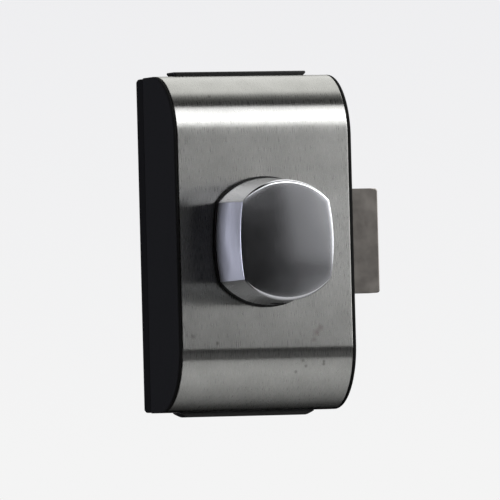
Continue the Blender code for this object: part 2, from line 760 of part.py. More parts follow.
def make_base(plastic):
    half_width, half_height = CHEEK_OUTER - BASE_INSET, HALF_HEIGHT - BASE_INSET
    plate = rectangle(-half_width, half_width, -half_height, half_height, BASE_CORNER)
    base = make_part("base_plate", prism(plate, BASE_FRONT, BASE_REAR), plastic)
    root = BASE_FRONT + EMBED
    pillars, pillar_holes, tabs, gussets, cover_holes, cheek_holes = [], [], [], [], [], []
    for sign in (-1, 1):
        for x in EAR_PLACES:
            centre = (x, sign * EAR_LEVEL)
            pillars.append(prism(circle(PILLAR_RADIUS, SCREW_STEPS, centre), PILLAR_TOP, root))
            bore = circle(CASE_SCREW.shank_radius + SCREW_GAP, SCREW_STEPS, centre)
            pillar_holes.append(prism(bore, PILLAR_TOP - OVERCUT, BASE_REAR - SCREW_LAND))
        low, high = sorted((sign * TAB_TOP, sign * (TAB_TOP - TAB_THICKNESS)))
        tabs.append(box((-TAB_WIDTH / 2, TAB_TIP, low), (TAB_WIDTH / 2, root, high)))
        under = TAB_TOP - TAB_THICKNESS + EMBED
        wedge = [(TAB_TIP + GUSSET_WIDTH, sign * under), (root, sign * under)]
        wedge.append((root, sign * (under - GUSSET_DROP)))
        for side in (-1, 1):
            middle = side * (TAB_WIDTH / 2 - SEAM_GAP - GUSSET_WIDTH / 2)
            gussets.append(prism(wedge, middle - GUSSET_WIDTH / 2, middle + GUSSET_WIDTH / 2, "X"))
        screw = rod(COVER_SCREW.shank_radius + SCREW_GAP, 0, COVER_SCREW.length + OVERCUT, SCREW_STEPS)
        cover_holes.append(placed(screw, (0, FLAT_MIDDLE, sign * HALF_HEIGHT), -sign * math.pi / 2))
        for side in (-1, 1):
            hole = screw_hole(CHEEK_SCREW, BASE_THICKNESS + OVERCUT, OVERCUT)
            place = (side * CHEEK_BOSS_X, BASE_REAR, sign * CHEEK_SCREW_LEVEL)
            cheek_holes.append(placed(hole, place, math.pi, "Z"))
    fuse(base, *pillars)
    boss_tip = BASE_FRONT - THROUGH_BOLT_BOSS_LENGTH
    fuse(base, *through_bolt_hole(THROUGH_BOLT_BOSS_RADIUS, boss_tip, root))
    fuse(base, *tabs)
    fuse(base, *gussets)
    cut(base, *pillar_holes, *cover_holes)
    cut(base, *through_bolt_hole(THROUGH_BOLT_HOLE_RADIUS, boss_tip + THROUGH_BOLT_HOLE_FLOOR, OVERCUT))
    cut(base, rod(TAILPIECE_HOLE_RADIUS, BASE_FRONT - OVERCUT, BASE_REAR + OVERCUT), *cheek_holes)


def make_gasket(rubber):
    half_width, half_height = CHEEK_OUTER - GASKET_INSET, HALF_HEIGHT - GASKET_INSET
    sheet = rectangle(-half_width, half_width, -half_height, half_height, BASE_CORNER)
    gasket = make_part("glass_gasket", prism(sheet, -GASKET_THICKNESS, 0), rubber)
    low = -GASKET_THICKNESS - OVERCUT
    bolt_radius = THROUGH_BOLT_HOLE_RADIUS + SLOT_GAP
    cut(gasket, rod(TAILPIECE_HOLE_RADIUS, low, OVERCUT), *through_bolt_hole(bolt_radius, low, OVERCUT))


# Case


def make_case(zinc):
    body = rectangle(CASE_LEFT, CASE_RIGHT, -CASE_HALF, CASE_HALF, CASE_CORNER)
    case = make_part("lock_case", prism(case_outline(), EAR_FACE, CASE_RIM), zinc)
    fuse(case, prism(body, CASE_FACE, EAR_FACE + EMBED))
    fuse(case, rod(NECK_RADIUS, NECK_FRONT, CASE_FACE + EMBED))
    inside_half = TAIL_HALF + SLIDE_GAP
    pocket = (CASE_LEFT + CASE_WALL, CASE_FLOOR, -inside_half)
    cut(case, box(pocket, (CASE_RIGHT - CASE_WALL, CASE_RIM + OVERCUT, inside_half)))
    mouth_half = BOLT_HEIGHT / 2 + SLIDE_GAP
    mouth = (CASE_RIGHT - CASE_WALL - OVERCUT, CASE_FLOOR, -mouth_half)
    cut(case, box(mouth, (CASE_RIGHT + CASE_FLANGE + OVERCUT, CASE_RIM + OVERCUT, mouth_half)))
    cut(case, rod(NECK_BORE, NECK_FRONT - OVERCUT, CASE_FLOOR + OVERCUT))
    screws = []
    for x in EAR_PLACES:
        for sign in (-1, 1):
            bore = circle(CASE_SCREW.shank_radius + SCREW_GAP, SCREW_STEPS, (x, sign * EAR_LEVEL))
            screws.append(prism(bore, EAR_FACE - OVERCUT, CASE_RIM + OVERCUT))
    cut(case, *screws)
    run = SPRING_TIP_X - SPRING_SCREW_X
    window_low = SPRING_OFFSET - SPRING_WIDTH / 2 - SLOT_GAP
    window_high = SPRING_OFFSET + SPRING_WIDTH / 2 + SLOT_GAP
    window = rectangle(SPRING_SCREW_X + run / 2, SPRING_TIP_X + 6 * SPRING_STRIP, window_low, window_high)
    spring_bore = circle(SPRING_SCREW.shank_radius + SCREW_GAP, SCREW_STEPS, (SPRING_SCREW_X, SPRING_OFFSET))
    for hole in (window, spring_bore):
        cut(case, prism(hole, CASE_FACE - OVERCUT, CASE_FLOOR + OVERCUT))


def make_case_plate(steel):
    plate = make_part("case_plate", prism(case_outline(), PLATE_FRONT, PLATE_REAR), steel)
    low, high = PLATE_FRONT - OVERCUT, PLATE_REAR + OVERCUT
    holes = [rod(REAR_JOURNAL_RADIUS + JOURNAL_GAP, low, high)]
    for x in EAR_PLACES:
        for sign in (-1, 1):
            bore = circle(CASE_SCREW.shank_radius + SCREW_GAP, SCREW_STEPS, (x, sign * EAR_LEVEL))
            holes.append(prism(bore, low, high))
    cut(plate, *holes)


def make_spring(spring_steel):
    half = SPRING_WIDTH / 2
    strip = prism(thickened(spring_path(), SPRING_STRIP), SPRING_OFFSET - half, SPRING_OFFSET + half, "Z")
    spring = make_part("bolt_spring", strip, spring_steel)
    bore = circle(SPRING_SCREW.shank_radius + SCREW_GAP, SCREW_STEPS, (SPRING_SCREW_X, SPRING_OFFSET))
    cut(spring, prism(bore, CASE_FACE - 2 * OVERCUT, CASE_FACE + OVERCUT))


# Moving pieces


def make_bolt(axis, steel):
    bolt = make_part("deadbolt", prism(bolt_outline(), 0, BOLT_THICKNESS), steel, axis, (0, BOLT_FRONT, 0))
    bm = bmesh.new()
    bm.from_mesh(bolt.data)
    head = [edge for edge in bm.edges if all(vert.co.x > CHEEK_INNER - OVERCUT for vert in edge.verts)]
    sharp = [edge for edge in head if edge.calc_face_angle() > SMOOTH_ANGLE]
    bmesh.ops.bevel(bm, geom=sharp, offset=BOLT_EDGE, segments=2, profile=0.5, affect="EDGES")
    bm.to_mesh(bolt.data)
    bm.free()
    bolt.data.shade_smooth()
    bolt.data.set_sharp_from_angle(angle=SMOOTH_ANGLE)


def make_spindle(axis, steel):
    front = KNOB_REAR - KNOB_RIB_RECESS - SOCKET_DEPTH + SEAT_GAP
    neck_end = BOLT_FRONT + PINION_INSET
    pinion_rear = BOLT_REAR - PINION_INSET
    tail = PLATE_REAR + SPINDLE_TAIL
    groove = PLATE_REAR + SEAT_GAP
    groove_end = groove + CIRCLIP_THICKNESS + SEAM_GAP
    groove_radius = REAR_JOURNAL_RADIUS - CIRCLIP_GROOVE
    chamfer = POINT_CHAMFER
    profile = [(0, front), (SPINDLE_RADIUS - chamfer, front), (SPINDLE_RADIUS, front + chamfer)]
    profile += [(SPINDLE_RADIUS, neck_end + EMBED), (REAR_JOURNAL_RADIUS, neck_end + 2 * EMBED)]
    profile += [(REAR_JOURNAL_RADIUS, groove), (groove_radius, groove), (groove_radius, groove_end)]
    profile += [(REAR_JOURNAL_RADIUS, groove_end), (REAR_JOURNAL_RADIUS, tail), (0, tail)]
    spindle = make_part("spindle", turned(profile), steel, axis)
    fuse(spindle, prism(pinion_outline(), neck_end, pinion_rear))
    reach = SPINDLE_RADIUS + OVERCUT
    slot = TAIL_SLOT_WIDTH / 2
    cut(spindle, box((-reach, front - OVERCUT, -reach), (reach, RING_REAR, -SPINDLE_FLAT)))
    cut(spindle, box((-reach, tail - TAIL_SLOT_DEPTH, -slot), (reach, tail + OVERCUT, slot)))


def make_circlip(axis, steel):
    inner = REAR_JOURNAL_RADIUS - CIRCLIP_GROOVE + SOCKET_GAP
    half = CIRCLIP_OPENING / 2
    start, end = half - math.pi / 2, 2 * math.pi - half - math.pi / 2
    ring = arc((0, 0), CIRCLIP_RADIUS, start, end, ROUND_STEPS // 2)
    ring += arc((0, 0), inner, end, start, ROUND_STEPS // 2)
    front = PLATE_REAR + SEAT_GAP + SEAM_GAP / 2
    make_part("spindle_circlip", prism(ring, front, front + CIRCLIP_THICKNESS), steel, axis)


def make_bush(nylon):
    bore = SPINDLE_RADIUS + JOURNAL_GAP
    seat = NECK_FRONT - SEAM_GAP
    face = seat - BUSH_FLANGE
    rear = CASE_FLOOR - SEAT_GAP
    profile = [(bore, face), (NECK_RADIUS, face), (NECK_RADIUS, seat)]
    profile += [(BUSH_RADIUS, seat), (BUSH_RADIUS, rear), (bore, rear)]
    make_part("spindle_bush", turned(profile, closed=True), nylon)


def knob_section(radius, flat, y):
    return [(x, y, z) for x, z in knob_outline(radius, flat)]


def knob_cavity(front, rear, share_rear, share_front):
    """The inside of the knob's wall between two depths."""
    sections = []
    for y, share in ((rear, share_rear), (front, share_front)):
        radius = KNOB_RADIUS - KNOB_DRAFT * share - KNOB_WALL
        flat = KNOB_FLAT - KNOB_FLAT_DRAFT * share - KNOB_WALL
        sections.append(knob_section(radius, flat, y))
    return loft(sections)


def knob_crown(radius, flat):
    """The rings of the domed face, from its rim inwards."""
    rim = knob_section(radius, flat, 0)
    outer, inner = CROWN_SHARES
    sections = []
    for step in range(CROWN_STEPS):
        inward = step / (CROWN_STEPS - 1)
        share = outer + (inner - outer) * inward
        level = -KNOB_HEIGHT + KNOB_CROWN * (1 - inward) ** 2
        sections.append([(x * share, level, z * share) for x, _, z in rim])
    return sections


def make_knob(axis, chrome):
    """Local y runs from 0 at the knob's back to -KNOB_HEIGHT at its face."""
    front_radius, front_flat = KNOB_RADIUS - KNOB_DRAFT, KNOB_FLAT - KNOB_FLAT_DRAFT
    sections = [
        knob_section(KNOB_RADIUS - KNOB_REAR_EDGE, KNOB_FLAT - KNOB_REAR_EDGE, 0),
        knob_section(KNOB_RADIUS, KNOB_FLAT, -KNOB_REAR_EDGE),
        knob_section(front_radius, front_flat, -KNOB_HEIGHT + KNOB_CROWN + KNOB_EDGE),
    ]
    sections += knob_crown(front_radius - KNOB_EDGE, front_flat - KNOB_EDGE)
    knob = make_part("knob", loft(sections), chrome, axis, (0, KNOB_REAR, 0))
    floor = -KNOB_HEIGHT + KNOB_CROWN + KNOB_FACE_WALL
    cut(knob, knob_cavity(-KNOB_RIB_RECESS, OVERCUT, 0, 0))
    pocket = make_object("knob_pocket", knob_cavity(floor, -KNOB_RIB_RECESS + EMBED, 0, 1), knob)
    pocket.hide_render = True
    pocket.display_type = "WIRE"
    reach = KNOB_RADIUS
    low, high = floor - OVERCUT, OVERCUT
    cut(pocket, rod(BOSS_BORE + KNOB_BOSS_WALL, low, high))
    cut(pocket, box((-reach, low, -KNOB_RIB / 2), (reach, high, KNOB_RIB / 2)))
    cut(pocket, box((-KNOB_RIB / 2, low, 0), (KNOB_RIB / 2, high, reach)))
    cut(pocket, box((-KNOB_GRUB_RIB / 2, low, -reach), (KNOB_GRUB_RIB / 2, high, 0)))
    modifier = knob.modifiers.new("Pocket", "BOOLEAN")
    modifier.operation = "DIFFERENCE"
    modifier.object = pocket
    modifier.solver = "EXACT"
    bore_floor = -KNOB_RIB_RECESS - SOCKET_DEPTH
    flat_level = -(SPINDLE_FLAT + SOCKET_GAP)
    start = math.asin(flat_level / BOSS_BORE)
    socket = arc((0, 0), BOSS_BORE, start, math.pi - start, SOCKET_STEPS)
    cut(knob, prism(socket, bore_floor, 0))
    grub_hole = rod(GRUB_RADIUS + SOCKET_GAP, 0, KNOB_RADIUS, SCREW_STEPS)
    cut(knob, placed(grub_hole, (0, -GRUB_SETBACK, -SPINDLE_FLAT + EMBED), -math.pi / 2))


def make_ring(axis, plastic):
    """The skirt under the knob. Local y runs from 0 at its back to -RING_THICKNESS."""
    radius, flat = KNOB_RADIUS + RING_MARGIN, KNOB_FLAT + RING_MARGIN
    edge = RING_EDGE
    sections = [
        knob_section(radius - edge, flat - edge, 0),
        knob_section(radius, flat, -edge),
        knob_section(radius, flat, -RING_THICKNESS + edge),
        knob_section(radius - edge, flat - edge, -RING_THICKNESS),
    ]
    ring = make_part("knob_ring", loft(sections), plastic, axis, (0, RING_REAR, 0))
    spigot_radius = KNOB_FLAT - KNOB_WALL - 2 * SEAT_GAP
    spigot = circle(spigot_radius)
    spigot_end = -RING_THICKNESS - SPIGOT_HEIGHT
    fuse(ring, prism(spigot, spigot_end, -RING_THICKNESS + EMBED))
    cut(ring, rod(spigot_radius - SPIGOT_WALL, spigot_end - OVERCUT, -RING_THICKNESS))
    cut(ring, rod(BOSS_BORE, -RING_THICKNESS - OVERCUT, OVERCUT))


def make_grub_screw(axis, steel):
    """Screwed up into the knob against the spindle's flat. Local +Y points to the spindle."""
    tip = GRUB_LENGTH
    chamfer = POINT_CHAMFER
    profile = [(0, 0), (GRUB_RADIUS - chamfer, 0), (GRUB_RADIUS, chamfer), (GRUB_RADIUS, tip - chamfer)]
    profile += [(GRUB_RADIUS - chamfer, tip), (0, tip)]
    place = (0, KNOB_REAR - GRUB_SETBACK, -(SPINDLE_FLAT + SEAM_GAP + GRUB_LENGTH))
    grub = make_part("knob_grub_screw", turned(profile, SCREW_STEPS), steel, axis, place)
    cut(grub, prism(circle(GRUB_SOCKET_RADIUS, HEX_SIDES), -OVERCUT, GRUB_SOCKET_DEPTH))
    grub.rotation_euler = (math.pi / 2, 0, 0)


def make_all_screws(zinc_plated, black_steel):
    half_turn = (0, 0, math.pi)
    sunk = HALF_HEIGHT - SCREW_LAND / 2
    cover, cheek, case = [], [], []
    for level in (1, -1):
        cover.append((f"{level_name(level)}_cover_screw", (0, FLAT_MIDDLE, level * sunk), upward(level)))
        for side in (-1, 1):
            name = f"{side_name(side)}_cheek_screw_{level_name(level)}"
            place = (side * CHEEK_BOSS_X, BASE_REAR - SEAM_GAP / 2, level * CHEEK_SCREW_LEVEL)
            cheek.append((name, place, half_turn))
        for side, x in zip((-1, 1), EAR_PLACES):
            name = f"case_screw_{level_name(level)}_{side_name(side)}"
            head_face = EAR_FACE - SEAT_GAP - CASE_SCREW.head_height
            case.append((name, (x, head_face, level * EAR_LEVEL), (0, 0, 0)))
    make_screws(COVER_SCREW, zinc_plated, cover)
    make_screws(CHEEK_SCREW, black_steel, cheek)
    make_screws(CASE_SCREW, zinc_plated, case)
    spring_face = CASE_FACE - 2 * SEAT_GAP - SPRING_STRIP - SPRING_SCREW.head_height
    spring_place = (SPRING_SCREW_X, spring_face, SPRING_OFFSET)
    make_screws(SPRING_SCREW, zinc_plated, [("spring_screw", spring_place, (0, 0, 0))])


def main():
    clear_scene()
    brushed_steel = make_finish("brushed_stainless", (0.45, 0.45, 0.43), 1.0, 0.32)
    black_plastic = make_finish("black_moulded_plastic", (0.018, 0.018, 0.018), 0.0, 0.5)
    rubber = make_finish("black_rubber", (0.008, 0.008, 0.008), 0.0, 0.8)
    chrome = make_finish("chrome_plating", (0.55, 0.57, 0.62), 1.0, 0.08)
    bolt_steel = make_finish("satin_steel", (0.24, 0.22, 0.2), 1.0, 0.4)
    zinc = make_finish("cast_zinc", (0.42, 0.42, 0.44), 1.0, 0.5)
    plated = make_finish("zinc_plated_steel", (0.55, 0.55, 0.52), 1.0, 0.35)
    black_steel = make_finish("blackened_steel", (0.03, 0.03, 0.03), 1.0, 0.4)
    nylon = make_finish("white_nylon", (0.75, 0.74, 0.7), 0.0, 0.5)

    make_cover(brushed_steel)
    for sign in (-1, 1):
        make_cheek(sign, black_plastic)
        make_cap(sign, black_plastic)
    make_base(black_plastic)
    make_gasket(rubber)
    make_case(zinc)
    make_case_plate(plated)
    make_spring(plated)
    make_bush(nylon)
    make_all_screws(plated, black_steel)

    bolt_axis = make_axis("bolt_slide_axis", (0, 0, 0))
    make_bolt(bolt_axis, bolt_steel)
    knob_axis = make_axis("knob_turn_axis", (0, 0, 0))
    make_spindle(knob_axis, plated)
    make_circlip(knob_axis, plated)
    make_ring(knob_axis, black_plastic)
    make_knob(knob_axis, chrome)
    make_grub_screw(knob_axis, black_steel)


main()
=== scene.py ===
# Looks for the knob side of a glass door lock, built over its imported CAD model.
# Row frame: metres, +X to the bolt, -Y to the user, +Z up, origin on the knob's axis at the glass.

import json
import math

import bmesh
import bpy
from mathutils import Matrix, Vector


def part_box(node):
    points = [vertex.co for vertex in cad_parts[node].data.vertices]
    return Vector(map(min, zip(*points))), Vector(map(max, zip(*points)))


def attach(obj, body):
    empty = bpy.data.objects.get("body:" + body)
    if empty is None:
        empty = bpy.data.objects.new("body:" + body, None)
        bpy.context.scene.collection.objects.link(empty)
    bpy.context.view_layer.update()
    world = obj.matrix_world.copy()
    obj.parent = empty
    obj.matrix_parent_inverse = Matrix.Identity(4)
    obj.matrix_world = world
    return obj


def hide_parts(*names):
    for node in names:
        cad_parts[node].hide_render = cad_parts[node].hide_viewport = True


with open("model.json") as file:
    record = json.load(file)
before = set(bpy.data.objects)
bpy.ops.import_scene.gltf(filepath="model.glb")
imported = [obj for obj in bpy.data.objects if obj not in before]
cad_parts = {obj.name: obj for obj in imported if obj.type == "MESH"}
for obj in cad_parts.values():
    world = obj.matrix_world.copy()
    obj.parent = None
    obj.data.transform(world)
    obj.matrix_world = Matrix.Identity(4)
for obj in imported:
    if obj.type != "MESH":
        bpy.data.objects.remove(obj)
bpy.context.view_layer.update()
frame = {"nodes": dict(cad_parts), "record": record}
nodes = frame["nodes"]
mm = 0.001
quarter = math.pi / 2
smoothAngle = math.radians(30)  # sharper edges than this stay crisp
support = 0.08 * mm  # a ring this far past a rounding keeps it out of the flat's shading
overcut = 1.0 * mm  # how far a cutter reaches past what it cuts
print("frame loaded:", len(nodes), "nodes")


# Small helpers

def fromHex(text):
    # sRGB hex to linear colour, opaque
    values = [int(text[i:i + 2], 16) / 255 for i in (1, 3, 5)]
    linear = [v / 12.92 if v <= 0.04045 else ((v + 0.055) / 1.055) ** 2.4 for v in values]
    return (*linear, 1.0)


def add(tree, kind, inputs=None, **settings):
    # one node: inputs, by socket name or number, hold plain values or the sockets to link from
    node = tree.nodes.new(kind)
    for key, value in settings.items():
        setattr(node, key, value)
    for key, value in (inputs or {}).items():
        if isinstance(value, bpy.types.NodeSocket):
            tree.links.new(value, node.inputs[key])
        else:
            node.inputs[key].default_value = value
    return node


def startMaterial(name, values):
    # a new material, its node tree and its shader, with what is the same all over set on the shader
    material = bpy.data.materials.new(name)
    material.use_nodes = True
    shader = material.node_tree.nodes["Principled BSDF"]
    for socket, value in values.items():
        shader.inputs[socket].default_value = value
    return material, material.node_tree, shader


def arc(centre, radius, start, end, steps):
    # points on an arc, in radians from +u to +v
    points = []
    for step in range(steps + 1):
        angle = start + (end - start) * step / steps
        points.append((centre[0] + radius * math.cos(angle), centre[1] + radius * math.sin(angle)))
    return points


def circle(centre, radius, steps):
    return arc(centre, radius, 0, 2 * math.pi, steps)[:-1]


def roundedRectangle(left, right, bottom, top, corner, steps):
    points = []
    for u, v, start in ((right - corner, bottom + corner, -1), (right - corner, top - corner, 0),
                        (left + corner, top - corner, 1), (left + corner, bottom + corner, 2)):
        points += arc((u, v), corner, start * quarter, (start + 1) * quarter, steps)
    return points


def roundedSteps(edge, steps):
    # (how far in, how far back) round a quarter of an edge
    angles = [quarter * step / steps for step in range(steps + 1)]
    return [(edge * (1 - math.sin(angle)), edge * (1 - math.cos(angle))) for angle in angles]


def loft(sections):
    # skins rings of equally many points, and closes both ends
    bm = bmesh.new()
    rings = [[bm.verts.new(point) for point in section] for section in sections]
    for near, far in zip(rings, rings[1:]):
        for i in range(len(near)):
            j = (i + 1) % len(near)
            bm.faces.new((near[i], near[j], far[j], far[i]))
    bm.faces.new(rings[0])
    bm.faces.new(rings[-1][::-1])
    bmesh.ops.recalc_face_normals(bm, faces=bm.faces)
    return bm


def prism(outline, axis, ends):
    # an outline drawn out along one axis (0, 1 or 2); its points hold the other two
    sections = []
    for end in ends:
        section = [[u, v] for u, v in outline]
        for point in section:
            point.insert(axis, end)
        sections.append(section)
    return loft(sections)


def rod(radius, start, end, steps):
    return prism(circle((0, 0), radius, steps), 1, (start, end))


def block(lowCorner, highCorner):
    (x0, y0, z0), (x1, y1, z1) = lowCorner, highCorner
    return prism([(x0, z0), (x1, z0), (x1, z1), (x0, z1)], 1, (y0, y1))


def makeObject(name, bm):
    mesh = bpy.data.meshes.new(name)
    bm.to_mesh(mesh)
    bm.free()
    obj = bpy.data.objects.new(name, mesh)
    bpy.context.scene.collection.objects.link(obj)
    return obj


def combine(obj, bm, operation="DIFFERENCE"):
    # a hole or a boss, applied straight away
    cutter = makeObject("helper", bm)
    modifier = obj.modifiers.new("helper", "BOOLEAN")
    modifier.object = cutter
    modifier.operation = operation
    modifier.solver = "EXACT"
    bpy.context.view_layer.update()
    graph = bpy.context.evaluated_depsgraph_get()
    mesh = bpy.data.meshes.new_from_object(obj.evaluated_get(graph), depsgraph=graph)
    obj.modifiers.clear()
    obj.data = mesh
    bpy.data.objects.remove(cutter, do_unlink=True)


def finishMesh(mesh, material):
    mesh.materials.clear()
    mesh.materials.append(material)
    mesh.shade_smooth()
    mesh.set_sharp_from_angle(angle=smoothAngle)


def dress(obj, material, body, replaced):
    finishMesh(obj.data, material)
    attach(obj, body)
    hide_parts(replaced)


# Camera: 3 m off, to the left of the lock and a little below it, leaning a little

view = {
    "azimuth": math.radians(-19.6),
    "elevation": math.radians(-1.1),
    "roll": math.radians(1.46),
    "distance": 3.0,
    "pixelsPerMm": 3.245,  # on the cover's front, in a picture 500 pixels wide
    "pictureSize": 500,
    "aimAt": (265.45, 241.65),  # where the knob's axis meets the cover's front, in the picture
    "sensor": 36.0,
    "clip": (0.1, 50.0),
}


def makeCamera():
    front = Vector((0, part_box("cover_shell")[0].y, 0))
    azimuth, elevation, roll = view["azimuth"], view["elevation"], view["roll"]
    back = Vector((math.sin(azimuth) * math.cos(elevation),
                   -math.cos(azimuth) * math.cos(elevation), math.sin(elevation)))
    right = Vector((math.cos(azimuth), math.sin(azimuth), 0))
    up = back.cross(right)
    cosine, sine = math.cos(roll), math.sin(roll)
    right, up = right * cosine - up * sine, right * sine + up * cosine
    half = view["pictureSize"] / 2
    scale = view["pixelsPerMm"] / mm
    aside = right * ((half - view["aimAt"][0]) / scale) + up * ((view["aimAt"][1] - half) / scale)
    camera = bpy.data.objects.new("camera", bpy.data.cameras.new("camera"))
    bpy.context.scene.collection.objects.link(camera)
    camera.data.sensor_width = view["sensor"]
    camera.data.lens = view["sensor"] * view["distance"] * scale / view["pictureSize"]
    camera.data.clip_start, camera.data.clip_end = view["clip"]
    place = front + aside + back * view["distance"]
    turn = Matrix((right, up, back)).transposed().to_4x4()
    camera.matrix_world = Matrix.Translation(place) @ turn
    bpy.context.scene.camera = camera


makeCamera()
print("camera placed")


# Studio: what the camera sees is plain and pale; what lights the lock and shows in its steel is a
# dark room with soft panels, drawn in the world by direction, a floor with painted shade and two softboxes

studio = {
    "paleTop": "#eeeef0",
    "paleBottom": "#f4f4f4",
    "horizon": (-0.002, 0.05),  # where the bottom colour turns into the top one, by height
    "ambient": 0.0015,
    "floorColour": "#fdfdfc",
    "floorRoughness": 0.9,
    "floorDrop": 0.5,  # below the knob's axis
    "floorFront": -1.12,  # its edge shows as the lower end of the dark line on the lower bend
    "floorBack": 0.6,
    "floorHalfWidth": 1.0,
    # painted shade: what the steel sees of the floor is painted darker towards the back and painted black at
    # the left, while the camera sees it evenly pale
    "floorShadeSpan": (-0.46, 0.36),
    "floorShadeDepth": 0.06,
    "floorShadedLeft": (-0.18, -0.12),
    # each panel's edges in degrees, as (fades in from, full at, full to, faded out at): pitch runs
    # up over the front from the horizon, side to the right. Then its strength and colour.
    "panels": {
        # the white band on the upper bend, and the soft light under it
        "upperBand": ((31, 35, 58.5, 61.5), (2, 12, 65, 85), 3.6, "#ffffff"),
        "upperGlow": ((20, 38, 39, 44), (2, 14, 65, 85), 0.12, "#ffffff"),
        # the knob's round side above its left flat
        "facetGlow": ((20, 26, 30, 33), (-8, -2, 6, 12), 4.4, "#ffffff"),
        # the top of the upper bend, and the floor
        "overhead": ((81, 96, 148, 172), (-4, 12, 65, 85), 1.5, "#fffffb"),
        # the dark line on the lower bend, which isn't black, and the lower part of the knob's face
        "lowFill": ((-40, -27, -14, -6), (16, 34, 65, 85), 0.31, "#ffffff"),
        # the lower end of the knob's left flat
        "lowSweep": ((-30, -24, -14, -9), (-80, -70, -50, -40), 0.5, "#ffffff"),
        # the rear and the front half of the knob's left flat, from behind the lock
        "leftKicker": ((130, 150, 225, 245), (-89, -86, -74, -66), 9.0, "#ebedff"),
        "rearKicker": ((112, 134, 242, 262), (-76, -68, -56, -48), 5.2, "#ebedff"),
        # the right cheek and the bolt, from behind at the right
        "backFill": ((140, 160, 205, 240), (48, 58, 80, 88), 0.9, "#ffffff"),
    },
    # softboxes close by at the right: azimuth and pitch of the middle, distance, width, height, watts
    "softboxes": {
        "key softbox": (59.25, 17.0, 0.45, 0.377, 0.364, 1.2),
        "wing softbox": (27.5, 17.0, 0.45, 0.159, 0.364, 0.043),
    },
}


def makeWorld():
    world = bpy.data.worlds.new("studio")
    bpy.context.scene.world = world
    world.use_nodes = True
    tree = world.node_tree
    tree.nodes.clear()
    direction = add(tree, "ShaderNodeTexCoord").outputs["Generated"]
    axes = add(tree, "ShaderNodeSeparateXYZ", {0: direction})
    forward = add(tree, "ShaderNodeMath", {0: axes.outputs["Y"], 1: -1.0}, operation="MULTIPLY")
    pitch = add(tree, "ShaderNodeMath", {0: axes.outputs["Z"], 1: forward.outputs[0]}, operation="ARCTAN2")
    # -90 straight down, 0 in front, 90 overhead, 180 behind, 270 straight down again
    turned = add(tree, "ShaderNodeMath", {0: pitch.outputs[0], 1: 3 * quarter, 2: -quarter}, operation="WRAP")
    side = add(tree, "ShaderNodeMath", {0: axes.outputs["X"]}, operation="ARCSINE")
    level = studio["ambient"]
    total = add(tree, "ShaderNodeCombineXYZ", {0: level, 1: level, 2: level}).outputs[0]
    for pitches, sides, strength, colour in studio["panels"].values():
        share = 1.0
        for angle, edges in ((turned.outputs[0], pitches), (side.outputs[0], sides)):
            for start, end, first, last in ((*edges[:2], 0.0, 1.0), (*edges[2:], 1.0, 0.0)):
                window = add(tree, "ShaderNodeMapRange",
                             {0: angle, 1: math.radians(start), 2: math.radians(end), 3: first, 4: last},
                             interpolation_type="SMOOTHSTEP")
                product = add(tree, "ShaderNodeMath", {0: share, 1: window.outputs[0]}, operation="MULTIPLY")
                share = product.outputs[0]
        light = [channel * strength for channel in fromHex(colour)[:3]]
        lit = add(tree, "ShaderNodeVectorMath", {0: light, 3: share}, operation="SCALE")
        total = add(tree, "ShaderNodeVectorMath", {0: total, 1: lit.outputs[0]}, operation="ADD").outputs[0]
    low, high = studio["horizon"]
    rise = add(tree, "ShaderNodeMapRange", {0: axes.outputs["Z"], 1: low, 2: high})
    backdrop = add(tree, "ShaderNodeMix", {0: rise.outputs[0], 6: fromHex(studio["paleBottom"]),
                   7: fromHex(studio["paleTop"])}, data_type="RGBA")
    seen = add(tree, "ShaderNodeLightPath").outputs["Is Camera Ray"]
    panelled = add(tree, "ShaderNodeBackground", {0: total, 1: 1.0})
    plain = add(tree, "ShaderNodeBackground", {0: backdrop.outputs[2], 1: 1.0})
    mixed = add(tree, "ShaderNodeMixShader", {0: seen, 1: panelled.outputs[0], 2: plain.outputs[0]})
    add(tree, "ShaderNodeOutputWorld", {0: mixed.outputs[0]})


def makeFloor():
    bm = bmesh.new()
    half, front, back = studio["floorHalfWidth"], studio["floorFront"], studio["floorBack"]
    corners = [(-half, front), (half, front), (half, back), (-half, back)]
    bm.faces.new([bm.verts.new((x, y, -studio["floorDrop"])) for x, y in corners])
    floor = makeObject("floor", bm)
    material, tree, shader = startMaterial("pale matt floor, painted shade", {"Roughness": studio["floorRoughness"]})
    place = add(tree, "ShaderNodeTexCoord").outputs["Object"]
    axes = add(tree, "ShaderNodeSeparateXYZ", {0: place})
    # painted shade: for all but camera rays the floor's colour is darkened towards the back and painted black
    # at the left
    near, far = studio["floorShadeSpan"]
    backShade = add(tree, "ShaderNodeMapRange",
               {0: axes.outputs["Y"], 1: near, 2: far, 3: 1.0, 4: studio["floorShadeDepth"]})
    near, far = studio["floorShadedLeft"]
    aside = add(tree, "ShaderNodeMapRange", {0: axes.outputs["X"], 1: near, 2: far})
    lit = add(tree, "ShaderNodeMath", {0: backShade.outputs[0], 1: aside.outputs[0]}, operation="MULTIPLY")
    seen = add(tree, "ShaderNodeLightPath").outputs["Is Camera Ray"]
    share = add(tree, "ShaderNodeMath", {0: lit.outputs[0], 1: seen}, operation="MAXIMUM")
    tone = add(tree, "ShaderNodeVectorMath", {0: fromHex(studio["floorColour"])[:3], 3: share.outputs[0]},
               operation="SCALE")
    tree.links.new(tone.outputs[0], shader.inputs["Base Color"])
    # clear from below, so that it hides nothing
    below = add(tree, "ShaderNodeNewGeometry").outputs["Backfacing"]
    clear = add(tree, "ShaderNodeBsdfTransparent")
    mixed = add(tree, "ShaderNodeMixShader", {0: below, 1: shader.outputs[0], 2: clear.outputs[0]})
    tree.links.new(mixed.outputs[0], tree.nodes["Material Output"].inputs["Surface"])
    floor.data.materials.append(material)


